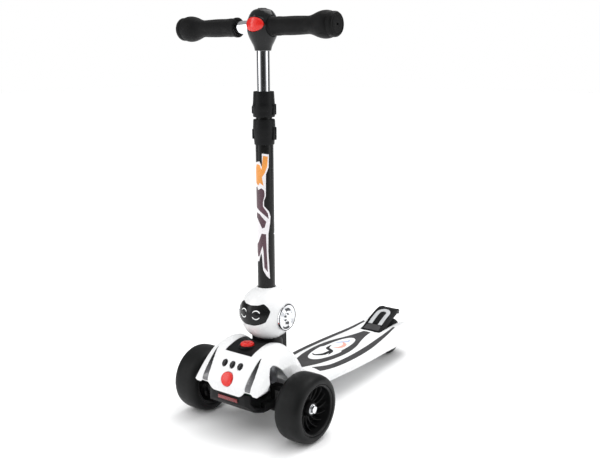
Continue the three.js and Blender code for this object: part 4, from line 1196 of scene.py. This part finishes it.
def add_badge():
    oval = [(half * math.copysign(abs(math.cos(t)) ** 0.9, math.cos(t)), y) for half, y, t in (
        (25.5 if math.sin(a) < 0 else 21.5, 248 + 75 * math.sin(a), a)
        for a in (2 * math.pi * k / 72 for k in range(72)))]
    badge = patch("badge", oval, (0, 246), on_deck(), 0.85, 0.4, 14, 0.2)
    fitted(badge, badge_white, "frame", "white_plastic")
    steps = 26
    strokes = (
        ([(-16, 200), (-6, 196), (6, 210), (4, 236)], 5.0, visor_black),
        ([(15, 212), (8, 232), (-8, 242), (-13, 262)], 4.2, visor_black),
        ([(-3, 252), (9, 258), (9, 278), (-4, 290)], 4.4, print_coral),
        ([(-14, 274), (-6, 288), (3, 298), (0, 311)], 3.0, print_blue))
    for number, (path, width, material) in enumerate(strokes):
        line = smooth_line(path, steps)
        first, second = [], []
        for k, (x, y) in enumerate(line):
            ahead, behind = line[min(k + 1, steps - 1)], line[max(k - 1, 0)]
            along = Vector((ahead[0] - behind[0], ahead[1] - behind[1])).normalized()
            half = width * math.sin(math.pi * (k + 0.4) / (steps - 0.2)) ** 0.8
            first.append((x - along.y * half, y + along.x * half))
            second.append((x + along.y * half, y - along.x * half))
        mark = strip(
            f"badge_mark_{number}", first, second, on_deck(0.75), narrow_section(0.25, 0.1))
        fitted(mark, material, "frame", "gloss_black")


def wide_section(top, columns=9, sink=0.7):
    """A raised band's section with enough columns to follow a curved surface."""
    edges = (0, columns)
    section = [(0, -sink), (0, top - 0.35)]
    section += [(k / columns, top - (0.12 if k in edges else 0)) for k in range(columns + 1)]
    section += [(1, top - 0.35), (1, -sink)]
    section[2], section[-3] = (0.03, section[2][1]), (0.97, section[-3][1])
    return section


add_deck()

# ------------------------------------------------------------------ fairing

FAIRING_WALL = 3.2
# y, half-width, then the skin's height at each column and at the side
FAIRING_COLUMNS = [0, 15, 30, 45, 58, 69]
FAIRING_ROWS = [
    (-72, 74, 97, 97, 97, 97, 96, 94, 88), (-69, 74.5, 105, 105, 105, 104, 102, 98, 90),
    (-60, 75.5, 118, 118, 118, 117, 114, 108, 97), (-50, 76.5, 131, 131, 131, 130, 126, 118, 104),
    (-38, 77.5, 143, 143, 143, 143, 138, 128, 112), (-20, 78.5, 149, 149, 150, 152, 147, 138, 121),
    (0, 79, 153, 153, 154, 156, 151, 141, 124), (20, 78, 151, 151, 152, 154, 149, 138, 122),
    (34, 76, 141, 141, 143, 145, 140, 130, 115), (46, 74, 125, 125, 127, 129, 125, 116, 104),
    (58, 72, 109, 109, 109, 109, 105, 98, 90), (72, 71.5, 96, 96, 96, 95, 91, 85, 78),
    (90, 71, 84, 84, 84, 83, 79, 75, 70), (112, 70, 72, 72, 71.5, 70.5, 68.5, 66, 63)]


def fairing_solid(name, inset=0.0, drop=0.0, bottom=56, rows=76):
    sections = []
    first, last = FAIRING_ROWS[0][0], FAIRING_ROWS[-1][0]
    for k in range(rows + 1):
        y = first + (last - first) * k / rows
        half, *heights = table_reading(FAIRING_ROWS, y)
        knots = [(x * (half - inset) / half, h - drop) for x, h in zip(FAIRING_COLUMNS, heights)]
        knots.append((half - inset, heights[-1] - drop))
        line = smooth_line(knots, 30)
        line += [(half - inset - 0.6, (heights[-1] - drop + bottom) / 2), (half - inset - 2, bottom)]
        shown = y + (inset if k == 0 else 0)
        sections.append([(x, shown, z) for x, z in line]
                        + [(-x, shown, z) for x, z in reversed(line) if x > 0])
    return loft(name, sections)


def fairing_height(x, y):
    """The height of the fairing's skin."""
    half, *heights = table_reading(FAIRING_ROWS, y)
    return hermite(FAIRING_COLUMNS + [half], heights, abs(x))


COVER_HALF = 30
COVER_FRONT = -38
# the height and lean of the sloping panel under each button: y, z, degrees
POWER_AT = (-69.2, 105.5, 20)
MODE_AT = (-53.6, 126.8, 38)
MODE_GAP = 17.4
MODES = ((-1, "right"), (0, "middle"), (1, "left"))
FOLD_Y = -13.5


def on_panel(made, y, z, lean, x=0):
    """Lays upright work made at the layout's origin on the sloping panel."""
    return turned(made, "X", 90 - lean, (x, y, z))


def cavity(drop):
    """The room inside the fairing, drop under its skin."""
    return fairing_solid("cavity", FAIRING_WALL, drop, 40)


def lens_outline(growth):
    """The left side slot's outline seen from the front, grown by a clearance."""
    knots = [(42.5, 93.5), (54.5, 93.5), (54.2, 112), (52.6, 130), (50, 147), (46.4, 130),
             (43.6, 112)]
    middle_x, middle_z = 49, 115
    made = []
    for x, z in knots:
        share = 1 + growth / math.hypot(x - middle_x, z - middle_z)
        made.append((middle_x + (x - middle_x) * share, middle_z + (z - middle_z) * share))
    return soften(made, 1.6, 3)


def lens_tool(sign, growth):
    return prism("lens", "y", [(sign * x, z) for x, z in lens_outline(growth)], -95, -20)


def neck_tools(radius, shifts):
    """Room for the neck, side by side where it leans."""
    return [disc("neck", "z", radius, 90, 210, (x, STEM_Y, 0), 96) for x in shifts]


def add_fairing():
    skin = carved(fairing_solid("fairing"), cavity(4.2))
    edge = soften([
        (-100, 20), (-100, 104), (-78, 99), (-72, 90.5), (-66, 86), (-59.5, 88), (-56.5, 91.5),
        (-42, 91.5), (-35, 83.5), (-29, 80), (29, 80), (35, 83.5), (42, 91.5), (56.5, 91.5),
        (59.5, 88), (66, 86), (72, 90.5), (78, 99), (100, 104), (100, 20)], 3, 4)
    below = prism("below", "y", edge, -95, -50)
    arch = soften([
        (-90, 20), (-90, 88), (-60, 88), (-53, 92), (-46, 103), (-41, 120), (-35, 130), (-27, 133),
        (-19, 128), (-11, 119), (0, 105), (14, 92), (36, 82), (45, 70), (47, 20)], 7, 5)
    trunk = block("trunk", -COVER_HALF, COVER_HALF, COVER_FRONT, STEM_Y, 95, 210)
    power = on_panel(disc("hole", "z", 12.6, -20, 12, (0, 0, 0), 64), *POWER_AT)
    modes = [on_panel(prism("hole", "z", ellipse(5.2, 6.7), -18, 10), *MODE_AT, MODE_GAP * number)
             for number, _ in MODES]
    lenses = [lens_tool(sign, 0.3) for sign in (-1, 1)]
    arches = [prism("arch", "x", arch, *sorted((s * 50, s * 100))) for s in (-1, 1)]
    deck_room = deck_solid("room", -0.6, -0.6)
    shell = carved(
        skin, below, *arches, *lenses, power, *modes, *neck_tools(36, (0,)), deck_room, trunk)
    fitted(moulded(shell, 0.85, 4, 0.4), white_shell, "frame", "white_plastic", "front_fairing")

    for side, sign in (("left", 1), ("right", -1)):
        body = carved(fairing_solid("lens_skin", 0.4, 0.7), cavity(4.6))
        lens = combined(body, [lens_tool(sign, 0)], "INTERSECT")
        lens.name = f"lens_{side}"
        fitted(lens, smoked_with_painted_reflection, "frame", "smoked_lens", f"side_lens_{side}")

    body = carved(fairing_solid("cover_skin", 0.3, 0.5), cavity(4.2))
    keep = block("keep", -COVER_HALF + 0.3, COVER_HALF - 0.3, COVER_FRONT + 0.3, STEM_Y - 22, 95,
                 210)
    cover = combined(body, [keep], "INTERSECT")
    cover = carved(cover, *neck_tools(28.7, (-5.5, 0, 5.5)),
                   disc("hole", "z", 12.4, 90, 210, (0, FOLD_Y, 0)))
    cover.name = "cover_top"
    fitted(bevelled(cover, 0.5, 2, 50), black_moulded, "frame", "black_plastic", "top_cover")
    add_buttons()


def add_buttons():
    skin_z = fairing_height(0, FOLD_Y)
    top = span("fold_button", 2)[1]
    button = lathe("button_fold", soften([
        (0, skin_z - 14), (12, skin_z - 14), (12, top - 2.6), (10.6, top - 0.9), (7.4, top - 0.3),
        (6.8, top - 1.2), (0, top - 1.2)], 0.7, closed=False), "z", (0, FOLD_Y, 0), 72)
    cross = []
    for turn in (0, 90):
        bar = block("bar", -6.2, 6.2, -1.2, 1.2, top - 1.8, top - 0.2)
        cross.append(bevelled(turned(bar, "Z", turn, (0, FOLD_Y, 0)), 0.3))
    fitted(shaded(joined("button_fold", [button, *cross])), red_glossy, "fold_button",
           "red_plastic", "fold_button")
    ring = lathe("button_fold_ring", soften([
        (12.6, skin_z - 3), (12.6, skin_z + 0.5), (13.3, skin_z + 1.2), (14.6, skin_z + 0.9),
        (15.6, skin_z - 0.9), (15.6, skin_z - 3)], 0.4), "z", (0, FOLD_Y, 0), 72)
    fitted(ring, black_moulded, "frame", "black_plastic")

    power = lathe("button_power", soften([
        (0, -10), (12.2, -10), (12.2, 0.6), (11, 1.5), (0, 2.1)], 0.7, closed=False), "z",
        (0, 0, 0), 72)
    on_panel(power, *POWER_AT)
    fitted(power, red_glossy, "power_button", "red_plastic", "power_button")
    for number, side in MODES:
        cap = on_panel(
            oval_cap(f"button_mode_{side}", 4.8, 6.3, -10, 1.5), *MODE_AT, MODE_GAP * number)
        fitted(cap, black_glossy, f"mode_button_{side}", "gloss_black", f"mode_button_{side}")


def oval_cap(name, half_a, half_b, low, high):
    """An oval push button with a rounded, slightly dished top."""
    rows = [(1, low), (1, high - 0.9), (0.95, high - 0.2), (0.86, high), (0.6, high - 0.35),
            (0.3, high - 0.5)]
    sides = 48
    points = [(0, 0, low)]
    for share, z in rows:
        points += [(a, b, z) for a, b in ellipse(half_a * share, half_b * share, sides=sides)]
    points.append((0, 0, high - 0.55))
    faces = []
    for k in range(sides):
        j = (k + 1) % sides
        faces.append((0, 1 + j, 1 + k))
        for ring in range(len(rows) - 1):
            here = 1 + ring * sides
            faces.append((here + k, here + j, here + sides + j, here + sides + k))
        last = 1 + (len(rows) - 1) * sides
        faces.append((last + k, last + j, len(points) - 1))
    return from_faces(name, points, faces)


add_fairing()

# ------------------------------------------------------------------ neck, chassis and suspension


LEAN_PIN_Z = 110
FOLD_PIN_Z = 134


def add_chassis():
    """The neck, hollowed where the head swings over it, and the CAD pieces with rounded edges."""
    cup = disc("neck_cup", "z", 27.5, 124, 157, (0, STEM_Y, 0), 96)
    barrel = disc("barrel", "y", 10, 9, 50.5, (0, 0, LEAN_PIN_Z))
    web = block("web", -12, 12, 20, 50, 110, 126)
    finger = block("finger", -4, 4, 17.5, 24.5, 68.5, 105)
    body = combined(cup, [barrel, web, finger], "UNION")
    reach = HEAD_Z - FOLD_PIN_Z
    sweep = []
    for degrees in range(0, 87, 12):
        turn = math.radians(degrees)
        centre = (0, STEM_Y + reach * math.sin(turn), FOLD_PIN_Z + reach * math.cos(turn))
        sweep.append(ball("sweep", HEAD_R + 1.4, centre, 64))
    slot = block("slot", -12.5, 12.5, STEM_Y - 13, STEM_Y + 40, 121.6, 165)
    body = carved(
        body, *sweep, slot, disc("bore", "y", 4.4, 0, 60, (0, 0, LEAN_PIN_Z), 32),
        disc("bore", "x", 4.3, -40, 40, (0, STEM_Y, FOLD_PIN_Z), 32))
    body.name = "neck"
    fitted(bevelled(body, 0.5, 2, 50), black_moulded, "steering", "black_plastic", "steering_yoke")

    refined("lower_chassis", black_moulded, "frame", "black_plastic", 0.8)
    refined("steering_base", zinc, "frame", "steel", 0.5)
    refined("stem_foot", zinc, "stem", "steel", 0.4)
    refined("tie_rod", zinc, "tie_rod", "steel", 0.4)
    refined("front_reflector", reflector, "frame", "reflector_red", 0.4)
    refined("sound_module", board, "frame", "circuit", 1.0)
    for side in ("left", "right"):
        refined(f"knuckle_{side}", black_moulded, f"knuckle_{side}", "black_plastic", 0.5)
        refined(f"front_axle_{side}", chromed, f"knuckle_{side}", "chrome", 0.5)
        refined(f"kingpin_{side}", zinc, "frame", "steel", 0.4)
    repainted(zinc, "lean_pin", "fold_pin", "brake_pin", "rear_axle", "brake_spring")


add_chassis()

# ------------------------------------------------------------------ foot brake

PEDAL_HALF = 24
PEDAL_LINE = [
    (-3, 6), (-3, 10), (3, 12.5), (10, 16), (18, 20.5), (31, 27.5), (45, 33.5), (57, 38),
    (67, 41), (75, 41.3), (83, 39), (88, 34), (90, 28)]


def add_brake():
    pin_y, pin_z = centre_of("brake_pin", 1), centre_of("brake_pin", 2)
    line = smooth_line([(pin_y + y, pin_z + z) for y, z in PEDAL_LINE[1:]], 90)
    lengths = [0.0]
    for a, b in zip(line, line[1:]):
        lengths.append(lengths[-1] + (Vector(b) - Vector(a)).length)
    total = lengths[-1]

    columns = list(zip(*line))

    def at(distance):
        return [hermite(lengths, values, distance) for values in columns]

    def lay(x, distance, height):
        step = 0.8
        y, z = at(distance)
        ahead, behind = at(distance + step), at(distance - step)
        along = Vector((ahead[0] - behind[0], ahead[1] - behind[1])).normalized()
        return x, y - along.y * height, z + along.x * height

    def half_at(distance):
        taper = max(0, (distance - total * 0.62) / (total * 0.38))
        return PEDAL_HALF * (1 - 0.3 * taper ** 2)

    sections = []
    rows = 90
    for k in range(rows + 1):
        distance = total * k / rows
        half = half_at(distance)
        skirt = 9 - 4.5 * max(0, (distance / total - 0.7) / 0.3)
        ring = [
            (-half, -skirt), (-half, -1.2), (-half + 0.5, -0.2), (-half + 1.6, 0.3),
            (-half + 3.4, 0.3), (-half + 4.2, -0.3), (half - 4.2, -0.3), (half - 3.4, 0.3),
            (half - 1.6, 0.3), (half - 0.5, -0.2), (half, -1.2), (half, -skirt),
            (half - 2.4, -skirt), (half - 2.4, -3.6), (-half + 2.4, -3.6), (-half + 2.4, -skirt)]
        sections.append([lay(x, distance, h) for x, h in ring])
    plate = loft("plate", sections, 40)
    pad = block("pad", -10, 10, *(centre_of("rear_tyre", 1) + d for d in (-9, 9)), 85.2, 94)
    arms = []
    for sign in (-1, 1):
        inner, outer = sorted((sign * 9, sign * PEDAL_HALF))
        arms.append(disc("arm", "x", 6, inner, outer, (0, pin_y, pin_z), 48))
        arms.append(block("arm", inner, outer, pin_y - 3, pin_y + 5, pin_z, pin_z + 10))
    body = combined(plate, [pad, *arms], "UNION")
    body = carved(body, disc("bore", "x", 3.4, -40, 40, (0, pin_y, pin_z), 32))
    body.name = "pedal"
    fitted(body, black_moulded, "brake", "black_plastic", "brake_pedal")

    front = soften([(-19, 1), (19, 1), (18, 14), (13, 18.5), (-13, 18.5), (-18, 14)], 2.5, 4)
    grip = patch("pedal_grip", resampled(front, 4), (0, 9), lay, 1.2, 1.4, 9, 0.6)
    fitted(grip, non_slip, "brake", "deck_grip", "brake_grip")
    low, high = 20, total * 0.68
    middle_half, band_half = 12.1, 4.7
    turn_at = high - middle_half - band_half
    path = [(-middle_half, low + (turn_at - low) * k / 16, -1, 0) for k in range(17)]
    for k in range(1, 24):
        turn = math.pi * k / 24
        path.append((-middle_half * math.cos(turn), turn_at + middle_half * math.sin(turn),
                     -math.cos(turn), math.sin(turn)))
    path += [(-x, y, -a, b) for x, y, a, b in reversed(path[:17])]
    outer = [(x + a * band_half, y + b * band_half) for x, y, a, b in path]
    inner = [(x - a * band_half, y - b * band_half) for x, y, a, b in path]
    arch = strip("pedal_arch", outer, inner, lay, narrow_section(0.5, 0.8))
    fitted(arch, pale_grey, "brake", "deck_grip")
    tongue = soften([(-5.8, low + 2), (5.8, low + 2), (5.8, turn_at + 4), (-5.8, turn_at + 4)], 4, 5)
    piece = patch("pedal_tongue", resampled(tongue, 3), (0, (low + turn_at) / 2 + 3), lay, 1.1,
                  0.8, 6, 0.6)
    fitted(piece, black_moulded, "brake", "black_plastic")


add_brake()

# ------------------------------------------------------------------ floor and light


# facing from away from the camera (0) to towards it (1), and the level reflections see there
REFLECTED_BANDS = (
    (0, 0.42), (0.3, 0.16), (0.56, 0.14), (0.68, 0.85), (0.79, 0.95), (0.88, 0.1), (1, 0.03))
LEVEL_LIGHT, OVERHEAD_LIGHT, OVERHEAD_REFLECTED = 0.62, 1.38, 0.4
# name, degrees round from the front, height, distance, size and power
LAMPS = (
    ("top", 165, 2.6, 0.9, (1.9, 1.9), 34), ("left", -40, 1.3, 2.4, (0.8, 2.2), 14),
    ("right", 110, 1.2, 2.2, (0.6, 2.0), 9))
FLOOR_REACH = 14


def lit_world():
    """A white surround that reflections see in light and dark bands, paler overhead."""
    world = bpy.data.worlds.new("studio")
    world.use_nodes = True
    tree = world.node_tree
    new, link = tree.nodes.new, tree.links.new
    background = tree.nodes["Background"]
    coordinates = new("ShaderNodeTexCoord")
    facing = new("ShaderNodeVectorMath")
    facing.operation = "DOT_PRODUCT"
    facing.inputs[1].default_value = (math.sin(CAMERA_AZIMUTH), -math.cos(CAMERA_AZIMUTH), 0)
    link(coordinates.outputs["Generated"], facing.inputs[0])
    bands = new("ShaderNodeValToRGB")
    bands.color_ramp.interpolation = "EASE"
    shift = new("ShaderNodeMapRange")
    shift.inputs["From Min"].default_value = -1
    link(facing.outputs["Value"], shift.inputs["Value"])
    link(shift.outputs["Result"], bands.inputs["Fac"])
    elements = bands.color_ramp.elements
    while len(elements) < len(REFLECTED_BANDS):
        elements.new(0.5)
    for element, (position, value) in zip(elements, REFLECTED_BANDS):
        element.position = position
        element.color = (value, value * 1.01, value * 1.03, 1)
    height = new("ShaderNodeSeparateXYZ")
    link(coordinates.outputs["Generated"], height.inputs[0])
    rise = new("ShaderNodeMapRange")
    rise.interpolation_type = "SMOOTHSTEP"
    rise.inputs["From Min"].default_value = 0.25
    rise.inputs["From Max"].default_value = 0.8
    link(height.outputs["Z"], rise.inputs["Value"])

    def mixed(factor, start, end):
        """The start where the factor is 0 and the end where it is 1; either can be a grey."""
        mix = new("ShaderNodeMix")
        mix.data_type = "RGBA"
        link(factor, mix.inputs["Factor"])
        for value, socket in ((start, mix.inputs["A"]), (end, mix.inputs["B"])):
            if isinstance(value, (int, float)):
                socket.default_value = (value, value, value, 1)
            else:
                link(value, socket)
        return mix.outputs["Result"]

    up = rise.outputs["Result"]
    path = new("ShaderNodeLightPath").outputs
    soft = mixed(up, LEVEL_LIGHT, OVERHEAD_LIGHT)
    mirrored_light = mixed(up, bands.outputs["Color"], OVERHEAD_REFLECTED)
    light = mixed(path["Is Glossy Ray"], soft, mirrored_light)
    link(mixed(path["Is Camera Ray"], light, 1.0), background.inputs["Color"])
    bpy.context.scene.world = world


def add_lamp(name, azimuth, height, distance, width, power):
    data = bpy.data.lights.new(name, "AREA")
    data.shape = "RECTANGLE"
    data.size, data.size_y = width
    data.energy = power
    made = bpy.data.objects.new(name, data)
    turn = math.radians(azimuth)
    at = Vector((math.sin(turn) * distance, -math.cos(turn) * distance, height))
    aim = Vector((0, 0, 0.3)) - at
    made.matrix_world = Matrix.Translation(at) @ aim.to_track_quat("-Z", "Y").to_matrix().to_4x4()
    bpy.context.scene.collection.objects.link(made)


def add_stage():
    floor_paint = finish_of("floor", (0.9, 0.902, 0.905), (0.6, 0.72), vary=0.004, specular=0)
    bm = bmesh.new()
    bmesh.ops.create_grid(bm, x_segments=8, y_segments=8, size=FLOOR_REACH)
    mesh = bpy.data.meshes.new("floor")
    bm.to_mesh(mesh)
    bm.free()
    mesh.materials.append(floor_paint.material)
    put_in_scene("floor", mesh)
    lit_world()
    for lamp in LAMPS:
        add_lamp(*lamp)
    bpy.context.scene.view_settings.view_transform = "Standard"


add_stage()
